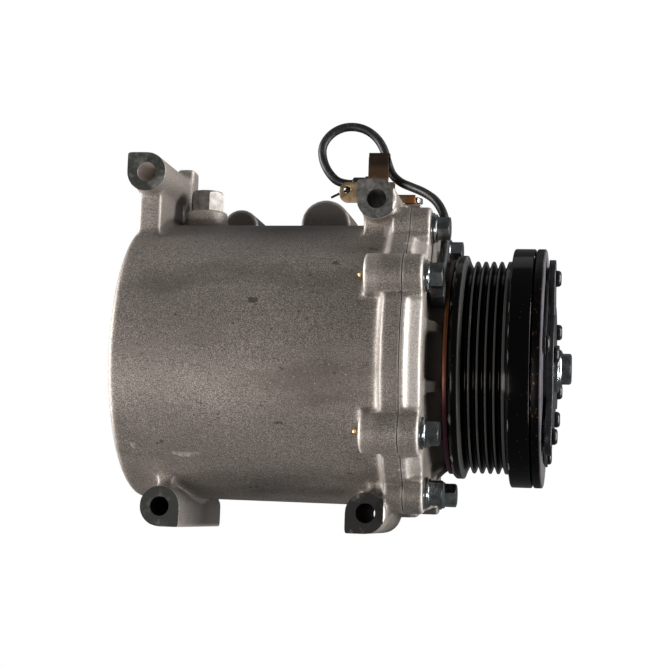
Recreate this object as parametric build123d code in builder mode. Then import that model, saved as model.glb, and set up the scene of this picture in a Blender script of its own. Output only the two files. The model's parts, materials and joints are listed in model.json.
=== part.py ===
import os
from math import atan2, cos, degrees, pi, radians, sin, sqrt, tan

from build123d import *

# Automotive scroll compressor with a magnetic clutch, in millimetres.
# X is the shaft axis, with the clutch at +X. Z is up and the hose ports face +Y.
# x = 0 is the middle of the five belt grooves, on the shaft axis.

# ---- fits and clearances ----
running_fit = 0.05
static_fit = 0.1
free_gap = 0.3

# ---- rear housing ----
rear_end_x = -158.4
joint_x = -32.3
body_radius = 62.6
body_draft = 0.3
body_edge_round = 3.0
body_wall = 6.4
end_wall = 6.5
rear_flange_length = 8.2
flange_rise = 5.4

# ---- joint bolts ----
bolt_circle_rise = 3.4
bolt_boss_radius = 9.2
bolt_boss_reach = 8.4
bolt_radius = 3.0
bolt_head_flats = 10.0
bolt_head_height = 5.4
bolt_flange_radius = 6.2
bolt_flange_height = 1.6
washer_radius = 6.8
washer_thickness = 1.2
long_bolt_tip = 3.0
side_bolt_angles = [30, 150, 210, 330]
outer_bolt_angles = [60, 120, 240, 300]

# ---- mounting lugs ----
lug_radius = 8.8
lug_bore_radius = 4.25
lug_corner_round = 1.5
lug_face_y = -42.0
neck_face_y = -34.5
top_rear_neck_width = 10.6
top_front_neck_width = 13.4
low_rear_neck_width = 7.0
low_front_neck_width = 7.2
top_rear_lug_setback = 7.8
top_rear_lug_rise = 17.8
top_rear_lug_depth = 46.5
top_front_lug_x = -47.3
top_front_lug_rise = 6.0
top_front_lug_depth = 37.4
low_rear_lug_setback = 20.6
low_rear_lug_depth = 80.8
low_front_lug_x = -47.8
low_front_lug_depth = 58.0
low_lug_drop = 4.1
stop_pad_length = 7.8
stop_pad_depth = 11.0
stop_pad_rise = 28.6

# ---- hose ports and relief valve ----
port_face_y = 55.0
port_near_y = 20.0
discharge_port_setback = 37.4
discharge_boss_radius = 8.6
discharge_bore_radius = 5.5
discharge_boss_rise = 3.8
suction_port_setback = 78.4
suction_boss_radius = 11.8
suction_bore_radius = 8.0
suction_boss_rise = 5.4
port_bore_depth = 30.0
port_screw_setback = 57.4
port_screw_hole_radius = 3.4
port_screw_hole_depth = 16.0
port_screw_drop = 12.0
port_pad_rise = 0.6
port_pad_depth = 36.0
passage_radius = 3.6
valve_setback = 26.7
valve_y = -3.5
valve_boss_radius = 9.6
valve_boss_rise = 6.6
valve_hex_flats = 14.0
valve_hex_height = 9.4
valve_stem_radius = 6.0
valve_stem_length = 11.0
valve_bore_radius = 3.2

# ---- scrolls ----
involute_radius = 2.6
wrap_wall = 3.6
wrap_height = 34.0
wrap_start = 2.6
flank_clearance = 0.3
floor_clearance = 0.4
fixed_floor = 10.0
orbit_floor = 8.0
thrust_face_x = -58.4
thrust_plate_thickness = 1.4
thrust_gap = 0.1
scroll_screw_circle = 50.0
scroll_screw_radius = 2.5
scroll_screw_length = 22.0
scroll_screw_count = 3
discharge_hole_radius = 4.2
tip_seal_width = 1.4
tip_seal_depth = 1.5
orbit_hub_radius = 15.6
orbit_hub_length = 13.0

# ---- discharge valve ----
reed_thickness = 0.5
reed_width = 11.0
reed_screw_z = -24.0
reed_screw_radius = 2.0
reed_screw_depth = 7.5
retainer_thickness = 2.0

# ---- pin and ring coupling that stops the orbiting scroll turning ----
pin_radius = 2.5
pin_circle_radius = 43.0
pin_count = 4
pin_reach = 5.4
guide_ring_wall = 2.2
guide_ring_depth = 6.0

# ---- crankshaft ----
main_journal_radius = 15.0
main_journal_length = 16.0
crank_cheek_radius = 19.0
crank_cheek_length = 2.5
crank_pin_radius = 6.0
crank_pin_length = 12.6
seal_land_radius = 9.5
seal_land_end_x = -8.0
nose_journal_radius = 8.5
nose_journal_end_x = 9.0
hub_seat_radius = 8.0
shaft_end_x = 24.5
drive_bush_radius = 9.0
drive_bush_length = 11.0
needle_radius = 1.0
crank_needle_count = 20
nose_needle_count = 18
needle_cup_wall = 1.3
counterweight_radius = 29.0
counterweight_thickness = 9.5
counterweight_plate = 2.2

# ---- main ball bearing ----
main_bearing_radius = 31.0
main_ball_radius = 4.6
main_ball_count = 9
race_wall_share = 0.36

# ---- front housing ----
seal_groove_depth = 2.2
seal_groove_width = 2.8
seal_groove_setback = 6.0
seal_section_radius = 1.05
front_flange_length = 8.5
neck_radius = 46.0
coil_seat_x = -16.3
coil_boss_radius = 20.0
nose_radius = 17.5
nose_end_x = 14.4
crank_room_radius = 32.5
seal_bore_radius = 15.0
rib_count = 12
rib_width = 5.0
rib_reach = 7.0
nose_bore_radius = 9.8
nose_bearing_x = -4.0
nose_bearing_length = 12.0

# ---- shaft seal ----
seal_length = 7.5
seal_case_wall = 1.2
snap_ring_thickness = 1.2
snap_ring_bite = 1.2

# ---- pulley ----
groove_count = 5
groove_pitch = 3.56
groove_depth = 2.9
rib_tip_radius = 47.5
rim_back_x = -14.0
rim_back_radius = 50.0
rim_front_radius = 53.2
rim_front_x = 20.5
rim_front_length = 9.4
pulley_disc_thickness = 8.6
pocket_inner_radius = 31.2
pocket_outer_radius = 42.2
pulley_lip_radius = 25.4
pulley_bearing_radius = 27.5
pulley_bearing_length = 20.0
pulley_bearing_x = -9.0
pulley_ball_radius = 2.6
pulley_ball_count = 16
flux_slot_width = 3.0

# ---- clutch coil ----
coil_gap = 0.6
coil_shell_wall = 2.2
coil_front_x = 10.6
coil_plate_radius = 48.0
coil_plate_thickness = 1.8

# ---- armature and hub ----
air_gap = 0.5
armature_thickness = 4.2
armature_bore_radius = 28.5
leaf_thickness = 1.1
leaf_gap = 0.3
hub_barrel_radius = 12.5
hub_flange_thickness = 2.9
hub_lobe_circle = 41.0
hub_lobe_radius = 8.2
hub_core_radius = 22.0
lobe_angles = [110, 230, 350]
rivet_radius = 2.4
rivet_head_radius = 3.6
rivet_head_height = 2.4
inner_rivet_circle = 23.5
centre_bolt_radius = 3.0
centre_bolt_length = 18.0
centre_bolt_flats = 13.0
centre_bolt_head = 5.5
centre_washer_radius = 10.5
centre_washer_thickness = 1.8

# ---- lead, connector and bracket ----
lead_radius = 2.0
sleeve_radius = 3.1
sleeve_length = 6.0
bracket_thickness = 1.2
bracket_height = 9.5
bracket_pad_rise = 6.0
bracket_foot_depth = 14.0
bracket_screw_radius = 2.0
bracket_screw_length = 8.0
bracket_reach = 29.3
clip_tab_height = 15.0
connector_length = 8.0
connector_depth = 8.0
connector_height = 8.5
grommet_angle = 147.0
grommet_length = 5.8
grommet_width = 9.0

# ---- sizes that follow from the ones above ----
body_front_radius = body_radius + (joint_x - rear_end_x) * tan(radians(body_draft))
inner_radius = body_radius - body_wall
rear_flange_x = joint_x - rear_flange_length
front_face_x = joint_x + front_flange_length
seal_groove_x = joint_x - seal_groove_setback
boss_back_x = rear_flange_x - bolt_boss_reach
spigot_radius = inner_radius - static_fit
orbit_radius = pi * involute_radius - wrap_wall - flank_clearance
orbit_front_x = thrust_face_x - thrust_plate_thickness - thrust_gap
orbit_back_x = orbit_front_x - orbit_floor
fixed_front_x = orbit_back_x - wrap_height - floor_clearance
fixed_back_x = fixed_front_x - fixed_floor
wrap_reach = inner_radius - free_gap - orbit_radius - wrap_wall
wrap_end = sqrt((wrap_reach / involute_radius) ** 2 - 1)
orbit_plate_radius = inner_radius - orbit_radius - 2 * free_gap
main_bearing_x = joint_x - 8.0
crank_cheek_x = main_bearing_x - crank_cheek_length
main_bearing_end_x = main_bearing_x + main_journal_length
seal_x = main_bearing_end_x + 3.0
armature_x = rim_front_x + air_gap
leaf_x = armature_x + armature_thickness + leaf_gap
hub_flange_x = leaf_x + leaf_thickness
hub_front_x = hub_flange_x + hub_flange_thickness
flange_radius = body_radius + flange_rise
bolt_circle_radius = body_radius + bolt_circle_rise
top_rear_lug_x = rear_end_x + top_rear_lug_setback
low_rear_lug_x = rear_end_x + low_rear_lug_setback
discharge_port_x = rear_end_x + discharge_port_setback
port_screw_x = rear_end_x + port_screw_setback
suction_port_x = rear_end_x + suction_port_setback
valve_x = rear_end_x + valve_setback
low_lug_z = -(body_radius + low_lug_drop)
top_rear_lug_z = body_radius + top_rear_lug_rise
top_front_lug_z = body_radius + top_front_lug_rise
lug_far_top_rear = lug_face_y + top_rear_lug_depth
lug_far_top_front = lug_face_y + top_front_lug_depth
lug_far_low_rear = lug_face_y + low_rear_lug_depth
lug_far_low_front = lug_face_y + low_front_lug_depth
bracket_back_y = lug_far_top_front + static_fit
bracket_y = bracket_back_y + bracket_thickness
foot_z = flange_radius + bracket_pad_rise
bracket_screw_x = (rear_flange_x + joint_x) / 2
bracket_screw_y = bracket_y + bracket_foot_depth - 5.0
bracket_hole_floor_z = foot_z - bracket_screw_length - free_gap

os.makedirs("parts", exist_ok=True)


# ---------------------------------------------------------------- helpers
def meridian(points):
    """Closed profile of (x, radius) points, to be turned about the shaft axis."""
    with BuildSketch(Plane.XZ) as profile:
        with BuildLine():
            Polyline(*points, close=True)
        make_face()
    return profile.sketch


def ring_points(start_x, end_x, inner, outer):
    """Corners of a ring's section."""
    return [(start_x, inner), (end_x, inner), (end_x, outer), (start_x, outer)]


def around(radius, angles):
    """Points in the YZ plane on a circle about the shaft; 0 degrees is +Y, 90 is +Z."""
    return [(radius * cos(radians(a)), radius * sin(radians(a))) for a in angles]


def disc(x, radius, centres=((0, 0),)):
    """Circles on the plane across the shaft at x."""
    with BuildSketch(Plane.YZ.offset(x)) as circles:
        with Locations(*centres):
            Circle(radius)
    return circles.sketch


def hexagon(x, flats, centres=((0, 0),), turn=0):
    """Hexagons on the plane across the shaft at x."""
    with BuildSketch(Plane.YZ.offset(x)) as hexes:
        with Locations(*centres):
            RegularPolygon(flats / sqrt(3), 6, rotation=turn)
    return hexes.sketch


def involute_point(angle, turn):
    """Point of the involute of the base circle, turned as a whole."""
    x = involute_radius * (cos(angle) + angle * sin(angle))
    y = involute_radius * (sin(angle) - angle * cos(angle))
    return (x * cos(turn) - y * sin(turn), x * sin(turn) + y * cos(turn))


def spiral(x, wall, start, end, turn):
    """Face of a spiral wall of even thickness, across the shaft at x."""
    half = wall / 2 / involute_radius
    count = int((end - start) * 5)
    steps = [start + (end - start) * i / count for i in range(count + 1)]
    outer = [involute_point(angle, turn - half) for angle in steps]
    inner = [involute_point(angle, turn + half) for angle in steps]
    with BuildSketch(Plane.YZ.offset(x)) as wall_face:
        with BuildLine():
            Spline(*outer)
            Spline(*inner)
            Line(outer[0], inner[0])
            Line(outer[-1], inner[-1])
        make_face()
    return wall_face.sketch


def finish(part, label):
    """Name a sub-part and write its STEP file."""
    part.label = label
    export_step(part, f"parts/{label}.step")


def lug_profile(x, z, corner_x, corner_z):
    """Round lug end with one square corner, on the plane of the lugs' machined faces."""
    with BuildSketch(Plane.XZ.offset(-lug_face_y)) as profile:
        with Locations((x, z)):
            Circle(lug_radius)
        with Locations((x + corner_x * lug_radius / 2, z + corner_z * lug_radius / 2)):
            Rectangle(lug_radius, lug_radius)
        square_corner = profile.vertices().sort_by_distance(
            (x + corner_x * lug_radius * 2, lug_face_y, z + corner_z * lug_radius * 2)
        )[0]
        fillet(square_corner, lug_corner_round)
    return profile.sketch


def panel(x, y, z):
    """Upright block between pairs of stations, drawn on the XZ plane at its near face."""
    with BuildSketch(Plane.XZ.offset(-y[0])) as face:
        with Locations(((x[0] + x[1]) / 2, (z[0] + z[1]) / 2)):
            Rectangle(x[1] - x[0], z[1] - z[0])
    return extrude(face.sketch, amount=y[0] - y[1], mode=Mode.PRIVATE)


def rod_y(x, z, radius, near_y, far_y):
    """Round bar or hole along Y."""
    with BuildSketch(Plane.XZ.offset(-near_y)) as circle:
        with Locations((x, z)):
            Circle(radius)
    return extrude(circle.sketch, amount=near_y - far_y, mode=Mode.PRIVATE)


def rod_z(x, y, radius, low_z, high_z):
    """Round bar or hole along Z."""
    with BuildSketch(Plane.XY.offset(low_z)) as circle:
        with Locations((x, y)):
            Circle(radius)
    return extrude(circle.sketch, amount=high_z - low_z, mode=Mode.PRIVATE)


# ---------------------------------------------------------------- rear housing
discharge_port_z = body_radius + discharge_boss_rise
suction_port_z = body_radius + suction_boss_rise
port_screw_z = body_radius - port_screw_drop
valve_seat_z = body_radius + valve_boss_rise
scroll_seat_radius = scroll_screw_circle - 4.6
scroll_seat_length = 12.0
chamber_radius = inner_radius - 2.2
wrap_end_angle = degrees(wrap_end - atan2(wrap_end, 1))
scroll_screw_angles = [wrap_end_angle + 13 + 360 / scroll_screw_count * i for i in range(scroll_screw_count)]
side_bolts = around(bolt_circle_radius, side_bolt_angles)
outer_bolts = around(bolt_circle_radius, outer_bolt_angles)
all_bolts = side_bolts + outer_bolts
long_bolt_end_x = boss_back_x - long_bolt_tip
short_bolt_end_x = rear_flange_x + 1.0

with BuildPart() as rear_housing:
    # tapered barrel with a rounded rear edge
    barrel = [(rear_end_x, 0), (rear_end_x, body_radius), (joint_x, body_front_radius), (joint_x, 0)]
    revolve(meridian(barrel), axis=Axis.X)
    fillet(rear_housing.edges().filter_by(GeomType.CIRCLE).sort_by(Axis.X)[0], body_edge_round)
    # joint flange and its bolt bosses; the side bosses run further back
    extrude(disc(rear_flange_x, flange_radius), amount=rear_flange_length)
    extrude(disc(rear_flange_x, bolt_boss_radius, outer_bolts), amount=rear_flange_length)
    extrude(disc(boss_back_x, bolt_boss_radius, side_bolts), amount=joint_x - boss_back_x)
    # mounting lugs along Y, each with the neck that carries it
    extrude(lug_profile(top_rear_lug_x, top_rear_lug_z, -1, 1), amount=-top_rear_lug_depth)
    extrude(lug_profile(top_front_lug_x, top_front_lug_z, -1, 1), amount=-top_front_lug_depth)
    extrude(lug_profile(low_rear_lug_x, low_lug_z, 1, -1), amount=-low_rear_lug_depth)
    extrude(lug_profile(low_front_lug_x, low_lug_z, -1, -1), amount=-low_front_lug_depth)
    top_rear_neck = (top_rear_lug_x - top_rear_neck_width / 2, top_rear_lug_x + top_rear_neck_width / 2)
    add(panel(top_rear_neck, (neck_face_y, lug_far_top_rear + stop_pad_depth), (0, top_rear_lug_z)))
    stop_pad_x = (top_rear_lug_x + 1.9, top_rear_lug_x + 1.9 + stop_pad_length)
    stop_pad_y = (lug_far_top_rear, lug_far_top_rear + stop_pad_depth)
    add(panel(stop_pad_x, stop_pad_y, (body_radius / 2, body_radius + stop_pad_rise)))
    top_front_neck = (rear_flange_x - top_front_neck_width, rear_flange_x)
    add(panel(top_front_neck, (neck_face_y, lug_far_top_front), (body_radius / 2, top_front_lug_z)))
    low_rear_neck = (low_rear_lug_x - low_rear_neck_width / 2, low_rear_lug_x + low_rear_neck_width / 2)
    add(panel(low_rear_neck, (neck_face_y, lug_far_low_rear), (low_lug_z, 0)))
    low_front_neck = (rear_flange_x - low_front_neck_width, rear_flange_x)
    add(panel(low_front_neck, (neck_face_y, lug_far_low_front), (low_lug_z, -body_radius / 2)))
    # pad for the lead bracket
    pad_depth = (bracket_y, bracket_y + bracket_foot_depth)
    add(panel((rear_flange_x, joint_x), pad_depth, (body_radius / 2, foot_z)))
    # port pad, port bosses and relief valve boss
    pad_x = (discharge_port_x - discharge_boss_radius, suction_port_x + suction_boss_radius)
    pad_y = (port_face_y - port_pad_depth, port_face_y)
    add(panel(pad_x, pad_y, (body_radius / 2.5, body_radius + port_pad_rise)))
    add(rod_y(discharge_port_x, discharge_port_z, discharge_boss_radius, port_near_y, port_face_y))
    add(rod_y(suction_port_x, suction_port_z, suction_boss_radius, port_near_y, port_face_y))
    add(rod_z(valve_x, valve_y, valve_boss_radius, 0, valve_seat_z))
    # scroll bore, the seat ring behind it and the discharge chamber
    seat_back_x = fixed_back_x - scroll_seat_length
    hollow = [
        (joint_x, 0),
        (joint_x, inner_radius),
        (fixed_back_x, inner_radius),
        (fixed_back_x, scroll_seat_radius),
        (seat_back_x, scroll_seat_radius),
        (seat_back_x, chamber_radius),
        (rear_end_x + end_wall, chamber_radius),
        (rear_end_x + end_wall, 0),
    ]
    revolve(meridian(hollow), axis=Axis.X, mode=Mode.SUBTRACT)
    # holes
    lug_spots = [
        (top_rear_lug_x, top_rear_lug_z, lug_far_top_rear + stop_pad_depth),
        (top_front_lug_x, top_front_lug_z, lug_far_top_front),
        (low_rear_lug_x, low_lug_z, lug_far_low_rear),
        (low_front_lug_x, low_lug_z, lug_far_low_front),
    ]
    for lug_x, lug_z, lug_far_y in lug_spots:
        add(rod_y(lug_x, lug_z, lug_bore_radius, lug_face_y, lug_far_y), mode=Mode.SUBTRACT)
    port_bore_y = port_face_y - port_bore_depth
    port_bores = [
        (discharge_port_x, discharge_port_z, discharge_bore_radius),
        (suction_port_x, suction_port_z, suction_bore_radius),
    ]
    for port_x, port_z, bore_radius in port_bores:
        passage_y = port_bore_y + passage_radius + 1.0
        add(rod_y(port_x, port_z, bore_radius, port_bore_y, port_face_y), mode=Mode.SUBTRACT)
        add(rod_z(port_x, passage_y, passage_radius, body_radius / 2, port_z), mode=Mode.SUBTRACT)
    screw_bore = (port_face_y - port_screw_hole_depth, port_face_y)
    add(rod_y(port_screw_x, port_screw_z, port_screw_hole_radius, *screw_bore), mode=Mode.SUBTRACT)
    add(rod_z(valve_x, valve_y, valve_bore_radius, body_radius / 2, valve_seat_z), mode=Mode.SUBTRACT)
    valve_thread_z = valve_seat_z - valve_stem_length - free_gap
    valve_thread_radius = valve_stem_radius + running_fit
    add(rod_z(valve_x, valve_y, valve_thread_radius, valve_thread_z, valve_seat_z), mode=Mode.SUBTRACT)
    bracket_hole_radius = bracket_screw_radius + running_fit
    bracket_hole = rod_z(bracket_screw_x, bracket_screw_y, bracket_hole_radius, bracket_hole_floor_z, foot_z)
    add(bracket_hole, mode=Mode.SUBTRACT)
    bolt_hole_radius = bolt_radius + running_fit
    side_holes = disc(long_bolt_end_x, bolt_hole_radius, side_bolts)
    extrude(side_holes, amount=joint_x - long_bolt_end_x, mode=Mode.SUBTRACT)
    outer_holes = disc(short_bolt_end_x, bolt_hole_radius, outer_bolts)
    extrude(outer_holes, amount=joint_x - short_bolt_end_x, mode=Mode.SUBTRACT)
    scroll_screw_spots = around(scroll_screw_circle, scroll_screw_angles)
    scroll_screw_end_x = fixed_back_x - scroll_seat_length + 2.0
    screw_holes = disc(scroll_screw_end_x, scroll_screw_radius + running_fit, scroll_screw_spots)
    extrude(screw_holes, amount=fixed_back_x - scroll_screw_end_x, mode=Mode.SUBTRACT)
finish(rear_housing.part, "rear_housing")


# ---------------------------------------------------------------- front housing
needle_cup_inner = nose_journal_radius + 2 * running_fit + 2 * needle_radius
needle_cup_outer = needle_cup_inner + needle_cup_wall
main_bore_radius = main_bearing_radius + static_fit
seal_bore_end_x = seal_x + seal_length + static_fit
seal_clip_x = seal_x - static_fit - snap_ring_thickness
nose_step_x = pulley_bearing_x - static_fit
nose_clip_x = pulley_bearing_x + pulley_bearing_length + static_fit
guide_ring_outer = orbit_radius + pin_radius + 2 * running_fit + guide_ring_wall
guide_pocket_x = thrust_face_x + guide_ring_depth
pin_angles = [45 + 360 / pin_count * i for i in range(pin_count)]
pin_spots = around(pin_circle_radius, pin_angles)
rib_angles = [15 + 360 / rib_count * i for i in range(rib_count)]

with BuildPart() as front_housing:
    # spigot, flange, neck, coil seat and nose
    outline = [
        (thrust_face_x, crank_room_radius),
        (thrust_face_x, spigot_radius),
        (joint_x, spigot_radius),
        (joint_x, flange_radius),
        (front_face_x, flange_radius),
        (front_face_x, neck_radius),
        (coil_seat_x, neck_radius),
        (coil_seat_x, coil_boss_radius),
        (nose_step_x, coil_boss_radius),
        (nose_step_x, nose_radius - running_fit),
        (nose_end_x, nose_radius - running_fit),
        (nose_end_x, needle_cup_outer + running_fit),
        (nose_bearing_x - static_fit, needle_cup_outer + running_fit),
        (nose_bearing_x - static_fit, nose_bore_radius),
        (seal_bore_end_x, nose_bore_radius),
        (seal_bore_end_x, seal_bore_radius),
        (main_bearing_end_x + static_fit, seal_bore_radius),
        (main_bearing_end_x + static_fit, main_bore_radius),
        (main_bearing_x - static_fit, main_bore_radius),
        (main_bearing_x - static_fit, crank_room_radius),
    ]
    revolve(meridian(outline), axis=Axis.X)
    extrude(disc(joint_x, bolt_boss_radius, all_bolts), amount=front_flange_length)
    # ribs from the neck out to the flange
    rib_outline = [
        (front_face_x - 1, neck_radius - 1),
        (coil_seat_x - 1, neck_radius - 1),
        (coil_seat_x - 1, neck_radius + 1),
        (front_face_x, neck_radius + rib_reach),
        (front_face_x - 1, neck_radius + rib_reach),
    ]
    rib = extrude(meridian(rib_outline), amount=rib_width / 2, both=True, mode=Mode.PRIVATE)
    for rib_angle in rib_angles:
        add(rib.rotate(Axis.X, rib_angle))
    # through holes for the joint bolts
    bolt_clearance_radius = bolt_radius + free_gap
    bolt_holes = disc(joint_x, bolt_clearance_radius, all_bolts)
    extrude(bolt_holes, amount=front_flange_length, mode=Mode.SUBTRACT)
    # pockets for the guide rings
    ring_pockets = disc(thrust_face_x, guide_ring_outer + running_fit, pin_spots)
    extrude(ring_pockets, amount=guide_ring_depth, mode=Mode.SUBTRACT)
    # grooves for the body seal ring, the seal clip, and the clips on the nose
    seal_groove_floor = spigot_radius - seal_groove_depth
    seal_groove_end_x = seal_groove_x + seal_groove_width
    body_seal_groove = ring_points(seal_groove_x, seal_groove_end_x, seal_groove_floor, spigot_radius + 1)
    revolve(meridian(body_seal_groove), axis=Axis.X, mode=Mode.SUBTRACT)
    clip_groove_end = seal_clip_x + snap_ring_thickness + static_fit
    seal_clip_floor = seal_bore_radius + snap_ring_bite
    seal_clip_groove = ring_points(seal_clip_x - static_fit, clip_groove_end, nose_bore_radius, seal_clip_floor)
    revolve(meridian(seal_clip_groove), axis=Axis.X, mode=Mode.SUBTRACT)
    nose_clip_end = nose_clip_x + snap_ring_thickness + static_fit
    nose_clip_floor = nose_radius - snap_ring_bite
    nose_clip_start = nose_clip_x - static_fit / 2
    nose_clip_groove = ring_points(nose_clip_start, nose_clip_end, nose_clip_floor, nose_radius + 1)
    revolve(meridian(nose_clip_groove), axis=Axis.X, mode=Mode.SUBTRACT)
    coil_clip_x = coil_seat_x + coil_plate_thickness + static_fit
    coil_clip_floor = coil_boss_radius - snap_ring_bite
    coil_clip_end = coil_clip_x + snap_ring_thickness + static_fit
    coil_clip_start = coil_clip_x - static_fit / 2
    coil_clip_groove = ring_points(coil_clip_start, coil_clip_end, coil_clip_floor, coil_boss_radius + 1)
    revolve(meridian(coil_clip_groove), axis=Axis.X, mode=Mode.SUBTRACT)
finish(front_housing.part, "front_housing")


# ---------------------------------------------------------------- housing seal and fasteners
with BuildPart() as housing_seal_ring:
    seal_middle_radius = seal_groove_floor + seal_section_radius + static_fit
    with BuildSketch(Plane.XZ):
        with Locations((seal_groove_x + seal_groove_width / 2, seal_middle_radius)):
            Circle(seal_section_radius)
    revolve(axis=Axis.X)
finish(housing_seal_ring.part, "housing_seal_ring")


def joint_bolts(spots, end_x):
    """Hex flange bolts through the joint, one solid for each spot."""
    head_x = front_face_x + washer_thickness
    with BuildPart() as bolts:
        extrude(disc(end_x, bolt_radius, spots), amount=head_x - end_x)
        extrude(disc(head_x, bolt_flange_radius, spots), amount=bolt_flange_height)
        extrude(hexagon(head_x, bolt_head_flats, spots), amount=bolt_flange_height + bolt_head_height)
        top_edges = bolts.faces().sort_by(Axis.X)[-len(spots):].edges()
        chamfer(top_edges, bolt_head_flats / 14)
    return bolts.part


finish(joint_bolts(side_bolts, long_bolt_end_x), "long_joint_bolts")
finish(joint_bolts(outer_bolts, short_bolt_end_x + static_fit), "short_joint_bolts")

with BuildPart() as joint_bolt_washers:
    extrude(disc(front_face_x, washer_radius, all_bolts), amount=washer_thickness)
    washer_holes = disc(front_face_x, bolt_radius + static_fit, all_bolts)
    extrude(washer_holes, amount=washer_thickness, mode=Mode.SUBTRACT)
finish(joint_bolt_washers.part, "joint_bolt_washers")

with BuildPart() as relief_valve:
    stem_low_z = valve_seat_z - valve_stem_length
    add(rod_z(valve_x, valve_y, valve_stem_radius, stem_low_z, valve_seat_z))
    with BuildSketch(Plane.XY.offset(valve_seat_z)):
        with Locations((valve_x, valve_y)):
            RegularPolygon(valve_hex_flats / sqrt(3), 6, rotation=20)
    extrude(amount=valve_hex_height)
    chamfer(relief_valve.faces().sort_by(Axis.Z)[-1].edges(), 1.4)
    add(rod_z(valve_x, valve_y, valve_bore_radius, stem_low_z, valve_seat_z), mode=Mode.SUBTRACT)
    vent_z = valve_seat_z + valve_hex_height
    add(rod_z(valve_x, valve_y, valve_bore_radius / 1.4, vent_z - 2.0, vent_z), mode=Mode.SUBTRACT)
finish(relief_valve.part, "relief_valve")


# ---------------------------------------------------------------- scrolls
fixed_plate_radius = inner_radius - static_fit
screw_head_radius = 1.6 * scroll_screw_radius
screw_head_height = 1.0 * scroll_screw_radius
tip_start = wrap_start + 1.0
tip_end = wrap_end - 1.5
tip_groove_width = tip_seal_width + 3 * static_fit

with BuildPart() as fixed_scroll:
    extrude(disc(fixed_back_x, fixed_plate_radius), amount=fixed_floor)
    extrude(spiral(fixed_front_x, wrap_wall, wrap_start, wrap_end, 0), amount=wrap_height)
    extrude(disc(fixed_back_x, discharge_hole_radius), amount=fixed_floor, mode=Mode.SUBTRACT)
    reed_hole = disc(fixed_back_x, reed_screw_radius + running_fit, [(0, reed_screw_z)])
    extrude(reed_hole, amount=reed_screw_depth + static_fit, mode=Mode.SUBTRACT)
    screw_shanks = disc(fixed_back_x, scroll_screw_radius + static_fit, scroll_screw_spots)
    extrude(screw_shanks, amount=fixed_floor, mode=Mode.SUBTRACT)
    head_floor_x = fixed_front_x - screw_head_height - free_gap
    screw_heads = disc(head_floor_x, screw_head_radius + static_fit, scroll_screw_spots)
    extrude(screw_heads, amount=screw_head_height + free_gap + wrap_height, mode=Mode.SUBTRACT)
    wrap_tip_x = fixed_front_x + wrap_height
    tip_groove = spiral(wrap_tip_x - tip_seal_depth, tip_groove_width, tip_start, tip_end, 0)
    extrude(tip_groove, amount=tip_seal_depth, mode=Mode.SUBTRACT)
finish(fixed_scroll.part, "fixed_scroll")

with BuildPart() as fixed_tip_seal:
    tip_margin = free_gap / involute_radius
    tip_strip = (tip_start + tip_margin, tip_end - tip_margin, 0)
    seal_floor_x = wrap_tip_x - tip_seal_depth + static_fit
    extrude(spiral(seal_floor_x, tip_seal_width, *tip_strip), amount=tip_seal_depth)
finish(fixed_tip_seal.part, "fixed_scroll_tip_seal")

with BuildPart() as fixed_scroll_screws:
    shank_x = scroll_screw_end_x + static_fit
    extrude(disc(shank_x, scroll_screw_radius, scroll_screw_spots), amount=head_floor_x - shank_x)
    extrude(disc(head_floor_x, screw_head_radius, scroll_screw_spots), amount=screw_head_height)
    sockets = hexagon(head_floor_x + screw_head_height / 2, scroll_screw_radius * 1.6, scroll_screw_spots)
    extrude(sockets, amount=screw_head_height, mode=Mode.SUBTRACT)
finish(fixed_scroll_screws.part, "fixed_scroll_screws")

# at rest the crank pin stands straight up from the shaft axis
crank_z = orbit_radius
crank_centre = [(0, crank_z)]
orbit_hub_x = orbit_front_x + orbit_hub_length
crank_cup_inner = drive_bush_radius + 2 * running_fit + 2 * needle_radius
crank_cup_outer = crank_cup_inner + needle_cup_wall
orbit_pin_spots = [(y, z + crank_z) for y, z in pin_spots]

with BuildPart() as orbiting_scroll:
    extrude(disc(orbit_back_x, orbit_plate_radius, crank_centre), amount=orbit_floor)
    wrap = spiral(orbit_back_x, wrap_wall, wrap_start, wrap_end, pi)
    extrude(Location((0, 0, crank_z)) * wrap, amount=-wrap_height)
    extrude(disc(orbit_front_x, orbit_hub_radius, crank_centre), amount=orbit_hub_length)
    hub_bore_x = orbit_hub_x - crank_pin_length
    hub_bore = disc(hub_bore_x, crank_cup_outer + running_fit, crank_centre)
    extrude(hub_bore, amount=crank_pin_length, mode=Mode.SUBTRACT)
    pin_holes = disc(orbit_front_x - pin_reach, pin_radius + running_fit, orbit_pin_spots)
    extrude(pin_holes, amount=pin_reach, mode=Mode.SUBTRACT)
    orbit_tip_x = orbit_back_x - wrap_height
    orbit_groove = spiral(orbit_tip_x, tip_groove_width, tip_start, tip_end, pi)
    extrude(Location((0, 0, crank_z)) * orbit_groove, amount=tip_seal_depth, mode=Mode.SUBTRACT)
finish(orbiting_scroll.part, "orbiting_scroll")

with BuildPart() as orbit_tip_seal:
    orbit_strip = (tip_start + tip_margin, tip_end - tip_margin, pi)
    strip_face = spiral(orbit_tip_x - static_fit, tip_seal_width, *orbit_strip)
    extrude(Location((0, 0, crank_z)) * strip_face, amount=tip_seal_depth)
finish(orbit_tip_seal.part, "orbiting_scroll_tip_seal")

with BuildPart() as anti_rotation_pins:
    pin_back_x = orbit_front_x - pin_reach + static_fit
    pin_front_x = guide_pocket_x - 0.8
    extrude(disc(pin_back_x, pin_radius, orbit_pin_spots), amount=pin_front_x - pin_back_x)
    chamfer(anti_rotation_pins.edges().filter_by(GeomType.CIRCLE), 0.4)
finish(anti_rotation_pins.part, "anti_rotation_pins")

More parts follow.
